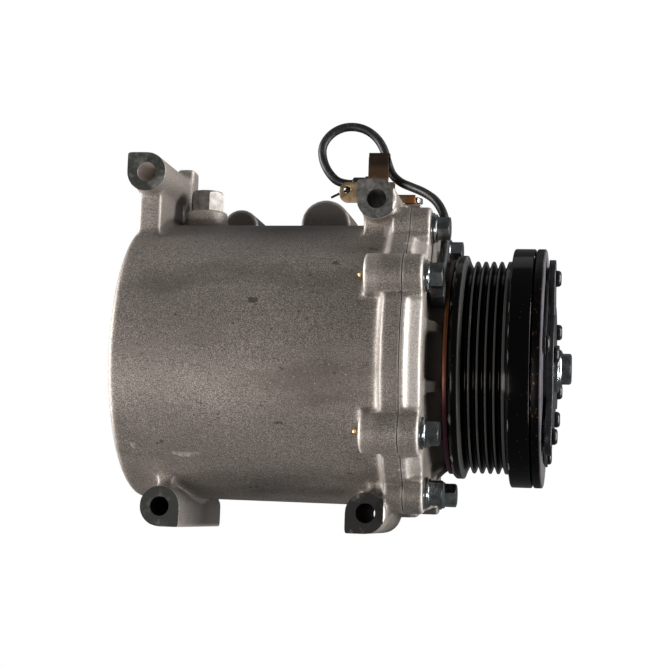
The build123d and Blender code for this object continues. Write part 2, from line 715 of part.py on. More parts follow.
with BuildPart() as guide_rings:
    extrude(disc(thrust_face_x, guide_ring_outer, pin_spots), amount=guide_ring_depth - static_fit)
    guide_bore = disc(thrust_face_x, guide_ring_outer - guide_ring_wall, pin_spots)
    extrude(guide_bore, amount=guide_ring_depth, mode=Mode.SUBTRACT)
finish(guide_rings.part, "guide_rings")

with BuildPart() as thrust_plate:
    plate_x = thrust_face_x - thrust_plate_thickness
    revolve(meridian(ring_points(plate_x, thrust_face_x, crank_room_radius, spigot_radius)), axis=Axis.X)
    plate_holes = disc(plate_x, guide_ring_outer - guide_ring_wall + free_gap, pin_spots)
    extrude(plate_holes, amount=thrust_plate_thickness, mode=Mode.SUBTRACT)
finish(thrust_plate.part, "thrust_plate")


# ---------------------------------------------------------------- discharge valve
def reed_face(x, width):
    """Tongue from its screw to past the discharge hole."""
    length = -reed_screw_z
    with BuildSketch(Plane.YZ.offset(x)) as tongue:
        with Locations((0, reed_screw_z / 2)):
            SlotCenterToCenter(length, width, rotation=90)
        with Locations((0, reed_screw_z)):
            Circle(reed_screw_radius + running_fit, mode=Mode.SUBTRACT)
    return tongue.sketch


reed_x = fixed_back_x - running_fit - reed_thickness
retainer_x = reed_x - running_fit - retainer_thickness

with BuildPart() as discharge_reed:
    extrude(reed_face(reed_x, reed_width), amount=reed_thickness)
finish(discharge_reed.part, "discharge_reed")

with BuildPart() as reed_retainer:
    extrude(reed_face(retainer_x, reed_width - 2), amount=retainer_thickness)
finish(reed_retainer.part, "reed_retainer")

with BuildPart() as reed_screw:
    reed_screw_spot = [(0, reed_screw_z)]
    reed_screw_head = 2.6
    head_x = retainer_x - reed_screw_head
    extrude(disc(head_x, reed_screw_radius * 1.9, reed_screw_spot), amount=reed_screw_head)
    reed_screw_end_x = fixed_back_x + reed_screw_depth
    extrude(disc(retainer_x, reed_screw_radius, reed_screw_spot), amount=reed_screw_end_x - retainer_x)
    extrude(hexagon(head_x, reed_screw_radius * 1.7, reed_screw_spot), amount=1.5, mode=Mode.SUBTRACT)
finish(reed_screw.part, "reed_screw")


# ---------------------------------------------------------------- bearings
def bearing_ring(x, length, inner, outer, ball_circle, ball_radius, rows):
    """Race of a ball bearing with one groove for each row of balls."""
    groove_radius = ball_radius + running_fit
    with BuildPart() as race:
        revolve(meridian(ring_points(x, x + length, inner, outer)), axis=Axis.X)
        chamfer(race.edges().filter_by(GeomType.CIRCLE), 0.4)
        for row_x in rows:
            with BuildSketch(Plane.XZ) as groove:
                with Locations((row_x, ball_circle)):
                    Circle(groove_radius)
            revolve(groove.sketch, axis=Axis.X, mode=Mode.SUBTRACT)
    return race.part


def ball_cage(x, length, ball_circle, ball_radius, count, rows, wall):
    """Cage ring with a pocket for each ball."""
    pocket_radius = ball_radius + static_fit
    with BuildPart() as cage:
        ring = ring_points(x, x + length, ball_circle - wall / 2, ball_circle + wall / 2)
        revolve(meridian(ring), axis=Axis.X)
        for row_x in rows:
            spots = around(ball_circle, [360 / count * i for i in range(count)])
            with Locations(*[(row_x, y, z) for y, z in spots]):
                Sphere(pocket_radius, mode=Mode.SUBTRACT)
    return cage.part


def ball_set(ball_circle, ball_radius, count, rows):
    """Balls on one circle for each row."""
    with BuildPart() as balls:
        for row_x in rows:
            spots = around(ball_circle, [360 / count * i for i in range(count)])
            with Locations(*[(row_x, y, z) for y, z in spots]):
                Sphere(ball_radius)
    return balls.part


def write_bearing(name, x, length, bore, outside, ball_radius, count, rows):
    """Write the two races, the cage and the balls of a ball bearing."""
    ball_circle = (bore + outside) / 2
    race_wall = (outside - bore) * race_wall_share
    inner = bearing_ring(x, length, bore, bore + race_wall, ball_circle, ball_radius, rows)
    outer = bearing_ring(x, length, outside - race_wall, outside, ball_circle, ball_radius, rows)
    cage_length = rows[-1] - rows[0] + 2 * ball_radius + 2.4
    cage_x = (rows[0] + rows[-1] - cage_length) / 2
    cage_wall = (outside - bore - 2 * race_wall) * 0.5
    finish(inner, f"{name}_inner_race")
    finish(outer, f"{name}_outer_race")
    finish(ball_cage(cage_x, cage_length, ball_circle, ball_radius, count, rows, cage_wall), f"{name}_cage")
    finish(ball_set(ball_circle, ball_radius, count, rows), f"{name}_balls")


def write_needle_bearing(name, x, length, shaft_radius, count, centre_z):
    """Write the drawn cup and the needles of a needle bearing."""
    centre = [(0, centre_z)]
    bore = shaft_radius + 2 * running_fit + 2 * needle_radius
    needle_length = length - 3.0
    with BuildPart() as cup:
        extrude(disc(x, bore + needle_cup_wall, centre), amount=length)
        lip_bore = shaft_radius + needle_radius
        extrude(disc(x, lip_bore, centre), amount=length, mode=Mode.SUBTRACT)
        extrude(disc(x + 1.2, bore, centre), amount=length - 2.4, mode=Mode.SUBTRACT)
    finish(cup.part, f"{name}_cup")
    circle = shaft_radius + running_fit + needle_radius
    spots = [(y, z + centre_z) for y, z in around(circle, [360 / count * i for i in range(count)])]
    with BuildPart() as needles:
        extrude(disc(x + 1.5, needle_radius, spots), amount=needle_length)
    finish(needles.part, f"{name}_needles")


main_row_x = main_bearing_x + main_journal_length / 2
write_bearing(
    "main_bearing",
    main_bearing_x,
    main_journal_length,
    main_journal_radius + running_fit,
    main_bearing_radius,
    main_ball_radius,
    main_ball_count,
    [main_row_x],
)
pulley_middle_x = pulley_bearing_x + pulley_bearing_length / 2
pulley_row_step = pulley_bearing_length * 0.23
write_bearing(
    "pulley_bearing",
    pulley_bearing_x,
    pulley_bearing_length,
    nose_radius,
    pulley_bearing_radius - running_fit,
    pulley_ball_radius,
    pulley_ball_count,
    [pulley_middle_x - pulley_row_step, pulley_middle_x + pulley_row_step],
)
crank_cup_x = hub_bore_x + static_fit
crank_cup_length = crank_pin_length - static_fit
crank_cup_place = (crank_cup_x, crank_cup_length, drive_bush_radius)
nose_cup_place = (nose_bearing_x, nose_bearing_length, nose_journal_radius)
write_needle_bearing("crank_pin_bearing", *crank_cup_place, crank_needle_count, crank_z)
write_needle_bearing("nose_bearing", *nose_cup_place, nose_needle_count, 0)


# ---------------------------------------------------------------- crankshaft
crank_pin_end_x = crank_cheek_x - crank_pin_length
centre_hole_radius = centre_bolt_radius + static_fit
centre_bolt_head_x = hub_front_x + centre_washer_thickness
centre_bolt_end_x = centre_bolt_head_x - centre_bolt_length

with BuildPart() as crankshaft:
    shaft_outline = [
        (crank_cheek_x, 0),
        (crank_cheek_x, crank_cheek_radius),
        (main_bearing_x, crank_cheek_radius),
        (main_bearing_x, main_journal_radius),
        (main_bearing_end_x, main_journal_radius),
        (main_bearing_end_x, seal_land_radius),
        (seal_land_end_x, seal_land_radius),
        (seal_land_end_x, nose_journal_radius),
        (nose_journal_end_x, nose_journal_radius),
        (nose_journal_end_x, hub_seat_radius),
        (shaft_end_x - 1, hub_seat_radius),
        (shaft_end_x, hub_seat_radius - 1),
        (shaft_end_x, 0),
    ]
    revolve(meridian(shaft_outline), axis=Axis.X)
    extrude(disc(crank_pin_end_x, crank_pin_radius, crank_centre), amount=crank_pin_length)
    bolt_hole = disc(centre_bolt_end_x - 2.0, centre_hole_radius)
    extrude(bolt_hole, amount=shaft_end_x - centre_bolt_end_x + 2.0, mode=Mode.SUBTRACT)
finish(crankshaft.part, "crankshaft")

with BuildPart() as drive_bushing:
    bush_x = crank_cheek_x - counterweight_plate - 2 * static_fit - drive_bush_length
    extrude(disc(bush_x, drive_bush_radius, crank_centre), amount=drive_bush_length)
    bush_bore = disc(bush_x, crank_pin_radius + running_fit, crank_centre)
    extrude(bush_bore, amount=drive_bush_length, mode=Mode.SUBTRACT)
finish(drive_bushing.part, "drive_bushing")

with BuildPart() as counterweight:
    weight_plate_x = crank_cheek_x - static_fit - counterweight_plate
    weight_back_x = weight_plate_x - counterweight_thickness
    weight_inner_radius = orbit_hub_radius + 2.0
    with BuildSketch(Plane.YZ.offset(weight_back_x)):
        Circle(counterweight_radius)
        Circle(weight_inner_radius, mode=Mode.SUBTRACT)
        with Locations((0, counterweight_radius)):
            Rectangle(counterweight_radius * 2, counterweight_radius * 2, mode=Mode.SUBTRACT)
    extrude(amount=counterweight_thickness)
    with BuildSketch(Plane.YZ.offset(weight_plate_x)):
        Circle(counterweight_radius)
        with Locations((0, counterweight_radius)):
            Rectangle(counterweight_radius * 2, counterweight_radius * 2, mode=Mode.SUBTRACT)
        Circle(weight_inner_radius)
        with Locations((0, crank_z)):
            Circle(crank_pin_radius + running_fit, mode=Mode.SUBTRACT)
    extrude(amount=counterweight_plate)
finish(counterweight.part, "counterweight")


# ---------------------------------------------------------------- shaft seal and snap rings
with BuildPart() as shaft_seal:
    case_outer = seal_bore_radius - running_fit
    lip_radius = seal_land_radius + running_fit
    seal_points = [
        (seal_x, lip_radius),
        (seal_x + 1.0, lip_radius),
        (seal_x + 2.6, case_outer - seal_case_wall),
        (seal_x + seal_length - 2.0, case_outer - seal_case_wall),
        (seal_x + seal_length - 2.0, lip_radius),
        (seal_x + seal_length, lip_radius + 0.6),
        (seal_x + seal_length, case_outer),
        (seal_x, case_outer),
    ]
    revolve(meridian(seal_points), axis=Axis.X)
finish(shaft_seal.part, "shaft_seal")


def snap_ring(x, inner, outer, gap_angle):
    """Open snap ring with its gap at the given angle."""
    with BuildPart() as ring:
        revolve(meridian(ring_points(x, x + snap_ring_thickness, inner, outer)), axis=Axis.X)
        mouth = disc(x, snap_ring_thickness * 2, around((inner + outer) / 2, [gap_angle]))
        extrude(mouth, amount=snap_ring_thickness, mode=Mode.SUBTRACT)
    return ring.part


seal_clip = snap_ring(seal_clip_x, seal_bore_radius - 2.4, seal_bore_radius + snap_ring_bite - static_fit, 90)
finish(seal_clip, "shaft_seal_snap_ring")
nose_clip = snap_ring(nose_clip_x, nose_clip_floor + static_fit, nose_radius + 2.0, 90)
finish(nose_clip, "nose_snap_ring")
coil_clip = snap_ring(coil_clip_x, coil_clip_floor + static_fit, coil_boss_radius + 2.6, 90)
finish(coil_clip, "coil_snap_ring")
bearing_clip_x = pulley_bearing_x - static_fit - snap_ring_thickness
bearing_clip_bite = pulley_bearing_radius + snap_ring_bite
bearing_clip = snap_ring(bearing_clip_x, pulley_bearing_radius - 1.6, bearing_clip_bite - static_fit, 90)
finish(bearing_clip, "pulley_bearing_snap_ring")


# ---------------------------------------------------------------- pulley
pocket_floor_x = rim_front_x - pulley_disc_thickness
groove_floor_radius = rib_tip_radius - groove_depth
groove_floor_half = 0.35
groove_top_half = groove_floor_half + groove_depth * tan(radians(20))
pulley_hub_back_x = bearing_clip_x - 1.2
slot_rows = [(35.0, 0), (46.0, 30)]


def groove_points():
    """Belt groove corners from the back rim to the front rim."""
    points = []
    for i in range(groove_count):
        middle = (i - (groove_count - 1) / 2) * groove_pitch
        points += [
            (middle - groove_top_half, rib_tip_radius),
            (middle - groove_floor_half, groove_floor_radius),
            (middle + groove_floor_half, groove_floor_radius),
            (middle + groove_top_half, rib_tip_radius),
        ]
    return points


def arc_slots(x, radius, start, count, width, span):
    """Faces of banana slots spaced evenly on a circle."""
    with BuildSketch(Plane.YZ.offset(x)) as slots:
        for i in range(count):
            begin = start + 360 / count * i - span / 2
            SlotArc(CenterArc((0, 0), radius, begin, span, mode=Mode.PRIVATE), width)
    return slots.sketch


with BuildPart() as pulley:
    grooves = groove_points()
    rim = [
        (rim_back_x, pocket_outer_radius),
        (rim_back_x, rim_back_radius - 1.2),
        (rim_back_x + 1.2, rim_back_radius),
        (grooves[0][0] - (rim_back_radius - rib_tip_radius) * 0.5, rim_back_radius),
        *grooves,
        (rim_front_x - rim_front_length, rim_front_radius - 0.5),
        (rim_front_x - rim_front_length + 0.5, rim_front_radius),
        (rim_front_x - 0.5, rim_front_radius),
        (rim_front_x, rim_front_radius - 0.5),
        (rim_front_x, pulley_lip_radius),
        (pulley_bearing_x + pulley_bearing_length + static_fit, pulley_lip_radius),
        (pulley_bearing_x + pulley_bearing_length + static_fit, pulley_bearing_radius),
        (pulley_hub_back_x, pulley_bearing_radius),
        (pulley_hub_back_x, pocket_inner_radius),
        (pocket_floor_x, pocket_inner_radius),
        (pocket_floor_x, pocket_outer_radius),
    ]
    revolve(meridian(rim), axis=Axis.X)
    clip_groove_x = bearing_clip_x - static_fit / 2
    clip_groove_end = bearing_clip_x + snap_ring_thickness + static_fit
    clip_groove = ring_points(clip_groove_x, clip_groove_end, nose_radius, bearing_clip_bite)
    revolve(meridian(clip_groove), axis=Axis.X, mode=Mode.SUBTRACT)
    for slot_radius, slot_start in slot_rows:
        slots = arc_slots(pocket_floor_x, slot_radius, slot_start, 6, flux_slot_width, 44)
        extrude(slots, amount=pulley_disc_thickness, mode=Mode.SUBTRACT)
finish(pulley.part, "pulley")


# ---------------------------------------------------------------- clutch coil
coil_plate_end_x = coil_seat_x + coil_plate_thickness
coil_inner = pocket_inner_radius + coil_gap
coil_outer = pocket_outer_radius - coil_gap
coil_front_x = pocket_floor_x - 2 * coil_gap
winding_start_x = coil_plate_end_x + coil_shell_wall + static_fit
potting_length = 2.4
winding_end_x = coil_front_x - potting_length - static_fit
winding_inner = coil_inner + coil_shell_wall + static_fit
winding_outer = coil_outer - coil_shell_wall - static_fit

with BuildPart() as coil_mounting_plate:
    plate_ring = ring_points(coil_seat_x, coil_plate_end_x, coil_boss_radius + static_fit, coil_plate_radius)
    revolve(meridian(plate_ring), axis=Axis.X)
finish(coil_mounting_plate.part, "coil_mounting_plate")

with BuildPart() as coil_shell:
    shell_outline = [
        (coil_plate_end_x, coil_inner),
        (coil_front_x, coil_inner),
        (coil_front_x, coil_inner + coil_shell_wall),
        (coil_plate_end_x + coil_shell_wall, coil_inner + coil_shell_wall),
        (coil_plate_end_x + coil_shell_wall, coil_outer - coil_shell_wall),
        (coil_front_x, coil_outer - coil_shell_wall),
        (coil_front_x, coil_outer),
        (coil_plate_end_x, coil_outer),
    ]
    revolve(meridian(shell_outline), axis=Axis.X)
finish(coil_shell.part, "coil_shell")

with BuildPart() as coil_winding:
    winding_ring = ring_points(winding_start_x, winding_end_x, winding_inner, winding_outer)
    revolve(meridian(winding_ring), axis=Axis.X)
finish(coil_winding.part, "coil_winding")

with BuildPart() as coil_potting:
    potting_ring = ring_points(winding_end_x + static_fit, coil_front_x - 0.3, winding_inner, winding_outer)
    revolve(meridian(potting_ring), axis=Axis.X)
finish(coil_potting.part, "coil_potting")


# ---------------------------------------------------------------- armature, springs and hub
lobe_spots = around(hub_lobe_circle, lobe_angles)
rivet_angles = [angle + 60 for angle in lobe_angles]
rivet_spots = around(hub_lobe_circle, rivet_angles)
inner_rivet_angles = [angle + 60 for angle in lobe_angles]
inner_rivet_spots = around(inner_rivet_circle, inner_rivet_angles)
armature_front_x = armature_x + armature_thickness
leaf_front_x = leaf_x + leaf_thickness
armature_rivet_gap = air_gap + static_fit
tail_length = 1.3
hub_web_x = shaft_end_x + 0.8

with BuildPart() as armature_plate:
    plate = ring_points(armature_x, armature_front_x, armature_bore_radius, rim_front_radius)
    revolve(meridian(plate), axis=Axis.X)
    chamfer(armature_plate.edges().filter_by(GeomType.CIRCLE).sort_by(SortBy.RADIUS)[-2:], 0.5)
    slots = arc_slots(armature_x, hub_lobe_circle, lobe_angles[0] + 30, 6, flux_slot_width, 30)
    extrude(slots, amount=armature_thickness, mode=Mode.SUBTRACT)
    tail_holes = disc(armature_x, rivet_head_radius + 1.0, lobe_spots)
    extrude(tail_holes, amount=armature_thickness, mode=Mode.SUBTRACT)
    rivet_holes = disc(armature_x, rivet_radius + running_fit, rivet_spots)
    extrude(rivet_holes, amount=armature_thickness, mode=Mode.SUBTRACT)
finish(armature_plate.part, "armature_plate")

with BuildPart() as armature_rivets:
    rivet_head_x = leaf_front_x + armature_rivet_gap
    extrude(disc(armature_x + 0.4, rivet_radius, rivet_spots), amount=rivet_head_x - armature_x - 0.4)
    extrude(disc(rivet_head_x, rivet_head_radius, rivet_spots), amount=rivet_head_height / 2)
finish(armature_rivets.part, "armature_rivets")

with BuildPart() as leaf_springs:
    leaf_middle_circle = hub_lobe_circle * cos(radians(30))
    with BuildSketch(Plane.YZ.offset(leaf_x)):
        for lobe_angle in lobe_angles:
            with Locations(*around(leaf_middle_circle, [lobe_angle + 30])):
                SlotCenterToCenter(hub_lobe_circle, 2 * rivet_head_radius + 2.4, rotation=lobe_angle + 120)
        with Locations(*lobe_spots):
            Circle(rivet_radius + running_fit, mode=Mode.SUBTRACT)
        with Locations(*rivet_spots):
            Circle(rivet_radius + free_gap, mode=Mode.SUBTRACT)
    extrude(amount=leaf_thickness)
finish(leaf_springs.part, "leaf_springs")

with BuildPart() as hub_plate:
    with BuildSketch(Plane.YZ.offset(hub_flange_x)):
        Circle(hub_core_radius + 6)
        for lobe_angle in lobe_angles:
            with Locations(*around(hub_lobe_circle / 2, [lobe_angle])):
                SlotCenterToCenter(hub_lobe_circle, 2 * hub_lobe_radius, rotation=lobe_angle)
        with Locations(*lobe_spots):
            Circle(rivet_radius + running_fit, mode=Mode.SUBTRACT)
        with Locations(*inner_rivet_spots):
            Circle(rivet_radius + running_fit, mode=Mode.SUBTRACT)
        Circle(centre_bolt_radius + free_gap, mode=Mode.SUBTRACT)
    extrude(amount=hub_flange_thickness)
finish(hub_plate.part, "hub_plate")

with BuildPart() as hub_barrel:
    hub_back_x = nose_end_x + 0.8
    flange_back_x = hub_flange_x - 2.4
    hub_rim_radius = inner_rivet_circle + rivet_head_radius
    hub_outline = [
        (hub_back_x, hub_seat_radius + running_fit),
        (hub_back_x, hub_barrel_radius - 0.8),
        (hub_back_x + 0.8, hub_barrel_radius),
        (flange_back_x, hub_barrel_radius),
        (flange_back_x, hub_rim_radius),
        (hub_flange_x, hub_rim_radius),
        (hub_flange_x, centre_bolt_radius + free_gap),
        (hub_web_x, centre_bolt_radius + free_gap),
        (hub_web_x, hub_seat_radius + running_fit),
    ]
    revolve(meridian(hub_outline), axis=Axis.X)
    hub_rivet_holes = disc(flange_back_x, rivet_radius + running_fit, inner_rivet_spots)
    extrude(hub_rivet_holes, amount=hub_flange_x - flange_back_x, mode=Mode.SUBTRACT)
finish(hub_barrel.part, "hub_barrel")


def rivets(spots, tail_x, start_x, end_x, tail_radius):
    """Domed rivets: a tail behind, a shank between two stations, and a head in front."""
    with BuildPart() as row:
        extrude(disc(start_x, rivet_radius, spots), amount=end_x - start_x)
        extrude(disc(tail_x, tail_radius, spots), amount=start_x - tail_x)
        extrude(disc(end_x, rivet_head_radius, spots), amount=rivet_head_height)
        chamfer(row.faces().sort_by(Axis.X)[-len(spots):].edges(), rivet_head_height / 2)
    return row.part


tail_x = leaf_x - tail_length
finish(rivets(lobe_spots, tail_x, leaf_x, hub_front_x, rivet_head_radius), "lobe_rivets")
hub_tail_x = flange_back_x - tail_length
finish(rivets(inner_rivet_spots, hub_tail_x, flange_back_x, hub_front_x, rivet_radius + 0.6), "hub_rivets")

with BuildPart() as hub_shim:
    shim_x = (shaft_end_x + static_fit / 2, hub_web_x - static_fit / 2)
    shim = ring_points(*shim_x, centre_bolt_radius + free_gap, hub_seat_radius - free_gap)
    revolve(meridian(shim), axis=Axis.X)
finish(hub_shim.part, "hub_shim")

with BuildPart() as centre_washer:
    washer = ring_points(hub_front_x, centre_bolt_head_x, centre_bolt_radius + free_gap, centre_washer_radius)
    revolve(meridian(washer), axis=Axis.X)
    chamfer(centre_washer.edges().filter_by(GeomType.CIRCLE).sort_by(SortBy.RADIUS)[-2:], 0.3)
finish(centre_washer.part, "centre_washer")

with BuildPart() as centre_bolt:
    extrude(disc(centre_bolt_end_x, centre_bolt_radius), amount=centre_bolt_length)
    extrude(hexagon(centre_bolt_head_x, centre_bolt_flats, turn=12), amount=centre_bolt_head)
    chamfer(centre_bolt.faces().sort_by(Axis.X)[-1].edges(), 1.1)
finish(centre_bolt.part, "centre_bolt")



# ---------------------------------------------------------------- bracket, connector and lead
bracket_left_x = top_front_lug_x - bracket_reach + 6.8
bracket_right_x = joint_x - 2.6
bracket_step_x = top_front_lug_x + 3.0
bracket_top_z = foot_z + bracket_height
tab_x = (top_front_lug_x - 9.5, top_front_lug_x - 0.2)
tab_top_z = bracket_top_z + clip_tab_height
connector_x = (tab_x[1] - 3.0 - connector_length, tab_x[1] - 3.0)
connector_z = (bracket_top_z - 5.4, bracket_top_z - 5.4 + connector_height)
connector_y = (bracket_y + static_fit, bracket_y + connector_depth)
sleeve_y = bracket_y + connector_depth / 2
sleeve_z = connector_z[1] - sleeve_radius

with BuildPart() as lead_bracket:
    strip_y = (bracket_back_y, bracket_y)
    add(panel((bracket_left_x, bracket_step_x), strip_y, (foot_z, bracket_top_z)))
    add(panel((bracket_step_x, bracket_right_x), strip_y, (foot_z, foot_z + bracket_height / 2.6)))
    add(panel(tab_x, strip_y, (foot_z, tab_top_z)))
    add(panel(tab_x, (bracket_back_y, bracket_y + 4.5), (tab_top_z - bracket_thickness, tab_top_z)))
    foot_x = (rear_flange_x + 0.4, bracket_right_x)
    foot_y = (bracket_back_y, bracket_y + bracket_foot_depth - 1.0)
    add(panel(foot_x, foot_y, (foot_z, foot_z + bracket_thickness)))
    left_corners = lead_bracket.edges().filter_by(Axis.Y).group_by(Axis.X)[0]
    fillet(left_corners, bracket_height / 2.4)
    hanger = rod_y(bracket_left_x + 3.4, bracket_top_z - 3.6, 1.6, bracket_back_y, bracket_y)
    add(hanger, mode=Mode.SUBTRACT)
    foot_hole_radius = bracket_screw_radius + static_fit
    foot_hole = rod_z(bracket_screw_x, bracket_screw_y, foot_hole_radius, foot_z, foot_z + bracket_thickness)
    add(foot_hole, mode=Mode.SUBTRACT)
finish(lead_bracket.part, "lead_bracket")

with BuildPart() as bracket_screw:
    screw_seat_z = foot_z + bracket_thickness
    screw_end_z = foot_z - bracket_screw_length
    add(rod_z(bracket_screw_x, bracket_screw_y, bracket_screw_radius, screw_end_z, screw_seat_z))
    with BuildSketch(Plane.XY.offset(screw_seat_z)):
        with Locations((bracket_screw_x, bracket_screw_y)):
            RegularPolygon(bracket_screw_radius * 2, 6)
    extrude(amount=bracket_screw_radius * 1.4)
    chamfer(bracket_screw.faces().sort_by(Axis.Z)[-1].edges(), 0.5)
finish(bracket_screw.part, "bracket_screw")

with BuildPart() as lead_connector:
    add(panel(connector_x, connector_y, connector_z))
    fillet(lead_connector.edges().filter_by(Axis.X), 1.2)
finish(lead_connector.part, "lead_connector")

with BuildPart() as lead_sleeve:
    with BuildSketch(Plane.YZ.offset(connector_x[0] - sleeve_length)):
        with Locations((sleeve_y, sleeve_z)):
            Circle(sleeve_radius)
    extrude(amount=sleeve_length)
    chamfer(lead_sleeve.edges().filter_by(GeomType.CIRCLE).sort_by(Axis.X)[0], 0.6)
finish(lead_sleeve.part, "lead_sleeve")

with BuildPart() as coil_lead_grommet:
    grommet_plane = Plane.YZ.offset(coil_seat_x - static_fit - grommet_length)
    grommet_middle = (neck_radius + static_fit + coil_plate_radius + 6.0) / 2
    with BuildSketch(grommet_plane):
        with Locations(*around(grommet_middle, [grommet_angle])):
            Rectangle(coil_plate_radius + 6.0 - neck_radius, grommet_width, rotation=grommet_angle)
    extrude(amount=grommet_length)
    fillet(coil_lead_grommet.edges().filter_by(Axis.X), 1.0)
finish(coil_lead_grommet.part, "coil_lead_grommet")

# the lead, from its sleeve at the connector to the grommet on the coil
lead_route = [
    (connector_x[0] - sleeve_length, sleeve_y, sleeve_z),
    (connector_x[0] - sleeve_length - lead_radius * 3, sleeve_y, sleeve_z),
    (-76.0, 2.6, 88.6),
    (-79.6, 4.7, 95.2),
    (-80.6, 6.3, 102.2),
    (-77.4, 7.6, 108.2),
    (-71.8, 8.3, 111.8),
    (-65.6, 8.6, 112.4),
    (-59.8, 8.2, 110.6),
    (-54.8, 7.2, 106.6),
    (-51.2, 5.6, 101.0),
    (-49.2, 3.9, 94.4),
    (-46.8, 2.2, 88.2),
    (-42.2, 0.2, 84.0),
    (-36.4, -3.6, 81.2),
    (-30.0, -8.6, 77.8),
    (-24.0, -13.8, 73.0),
    (-19.9, -18.5, 65.6),
    (-18.5, -23.1, 57.6),
    (-18.4, -27.9, 50.0),
    (-18.6, -32.8, 43.2),
    (-19.2, -37.2, 37.2),
    (-19.2, -40.7, 31.8),
]


def corner_radii(points):
    """Largest arc that each pair of runs allows."""
    radii = []
    for before, corner, after in zip(points, points[1:], points[2:]):
        run_in = Vector(*corner) - Vector(*before)
        run_out = Vector(*after) - Vector(*corner)
        turn = radians(run_in.get_angle(run_out))
        radii.append(0.45 * min(run_in.length, run_out.length) / tan(turn / 2))
    return radii


lead_radii = corner_radii(lead_route)
print("lead bend radii:", [round(radius, 1) for radius in lead_radii])

with BuildPart() as coil_lead:
    with BuildLine() as lead_path:
        FilletPolyline(*lead_route, radius=lead_radii)
    with BuildSketch(Plane(origin=lead_path.line @ 0, z_dir=lead_path.line % 0)):
        Circle(lead_radius)
    sweep()
lead_length = sum(edge.length for edge in lead_path.edges())
lead_volume_ratio = coil_lead.part.volume / (pi * lead_radius**2 * lead_length)
print("lead length:", round(lead_length, 1), "volume ratio:", round(lead_volume_ratio, 4))
finish(coil_lead.part, "coil_lead")
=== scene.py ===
import json
from math import atan2, cos, degrees, pi, radians, sin, sqrt

import bmesh
import bpy
from mathutils import Matrix, Vector


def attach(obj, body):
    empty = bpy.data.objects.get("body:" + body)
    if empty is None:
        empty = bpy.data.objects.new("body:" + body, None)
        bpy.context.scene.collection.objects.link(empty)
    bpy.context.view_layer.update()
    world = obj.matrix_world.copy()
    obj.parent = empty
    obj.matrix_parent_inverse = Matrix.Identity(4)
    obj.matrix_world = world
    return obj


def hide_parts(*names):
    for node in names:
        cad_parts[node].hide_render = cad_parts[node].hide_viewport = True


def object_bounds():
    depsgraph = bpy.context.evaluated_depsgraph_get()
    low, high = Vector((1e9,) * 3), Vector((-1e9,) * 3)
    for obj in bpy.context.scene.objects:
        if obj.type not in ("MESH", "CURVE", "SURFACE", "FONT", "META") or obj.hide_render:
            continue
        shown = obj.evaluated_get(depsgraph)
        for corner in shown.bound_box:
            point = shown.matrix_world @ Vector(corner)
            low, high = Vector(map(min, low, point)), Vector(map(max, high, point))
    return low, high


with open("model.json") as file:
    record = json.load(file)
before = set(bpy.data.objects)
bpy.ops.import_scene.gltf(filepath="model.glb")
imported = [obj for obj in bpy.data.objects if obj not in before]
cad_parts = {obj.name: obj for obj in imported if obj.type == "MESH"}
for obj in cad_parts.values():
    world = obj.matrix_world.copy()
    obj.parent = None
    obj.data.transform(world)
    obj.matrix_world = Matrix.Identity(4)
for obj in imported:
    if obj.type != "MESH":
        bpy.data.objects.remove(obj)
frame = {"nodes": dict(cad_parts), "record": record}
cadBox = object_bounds()
nodes = frame["nodes"]
mounts = {mount["name"]: mount for mount in frame["record"]["mounts"]}
scene = bpy.context.scene
mm = 0.001

# camera and light
cameraSettings = {
    "place": (0.0515, -0.740, -0.066),
    "turn": 9.4,
    "tilt": 6.1,
    "roll": 2.0,
    "lens": 89.3,
    "sensor": 36.0,
    "near": 0.01,
}
studio = {
    "backdrop": (1.0, 1.0, 1.0),
    "fill": (0.95, 0.97, 1.0),
    "fillStrength": 0.10,
    "floorSize": 6.0,
    "floorGap": 0.05 * mm,
    "aim": (-0.06, 0.0, 0.0),
}
softboxes = {
    "rightBox": {
        "place": (0.85, -0.06, 0.05), "size": (0.35, 1.1), "power": 22.0, "tone": (1.0, 0.985, 0.96),
    },
    "leftBox": {
        "place": (-1.05, -0.10, 0.03), "size": (0.35, 1.1), "power": 24.0, "tone": (1.0, 0.975, 0.95),
    },
    "topBox": {
        "place": (-0.05, 0.45, 0.95), "size": (1.1, 0.4), "power": 0.5, "tone": (0.97, 0.985, 1.0),
    },
    "frontBox": {
        "place": (-0.58, -1.13, -0.44), "size": (0.6, 0.4), "power": 5.5, "tone": (1.0, 0.94, 0.89),
    },
}


def placeCamera(settings):
    turn, tilt, roll = (radians(settings[key]) for key in ("turn", "tilt", "roll"))
    ahead = Vector((-sin(turn) * cos(tilt), cos(turn) * cos(tilt), sin(tilt)))
    level = Vector((cos(turn), sin(turn), 0))
    above = level.cross(ahead)
    right = level * cos(roll) + above * sin(roll)
    up = above * cos(roll) - level * sin(roll)
    camera = bpy.data.objects.new("camera", bpy.data.cameras.new("camera"))
    camera.data.lens = settings["lens"]
    camera.data.sensor_width = settings["sensor"]
    camera.data.clip_start = settings["near"]
    axes = Matrix((right, up, -ahead)).transposed().to_4x4()
    camera.matrix_world = Matrix.Translation(settings["place"]) @ axes
    scene.collection.objects.link(camera)
    scene.camera = camera


def placeLights(boxes, aim):
    for name, box in boxes.items():
        light = bpy.data.lights.new(name, "AREA")
        light.shape = "RECTANGLE"
        light.size, light.size_y = box["size"]
        light.energy = box["power"]
        light.color = box["tone"]
        lamp = bpy.data.objects.new(name, light)
        lamp.location = box["place"]
        towards = Vector(aim) - Vector(box["place"])
        lamp.rotation_euler = towards.to_track_quat("-Z", "Y").to_euler()
        scene.collection.objects.link(lamp)


placeCamera(cameraSettings)
placeLights(softboxes, studio["aim"])
scene.view_settings.view_transform = "Standard"
print("camera and lights are set")


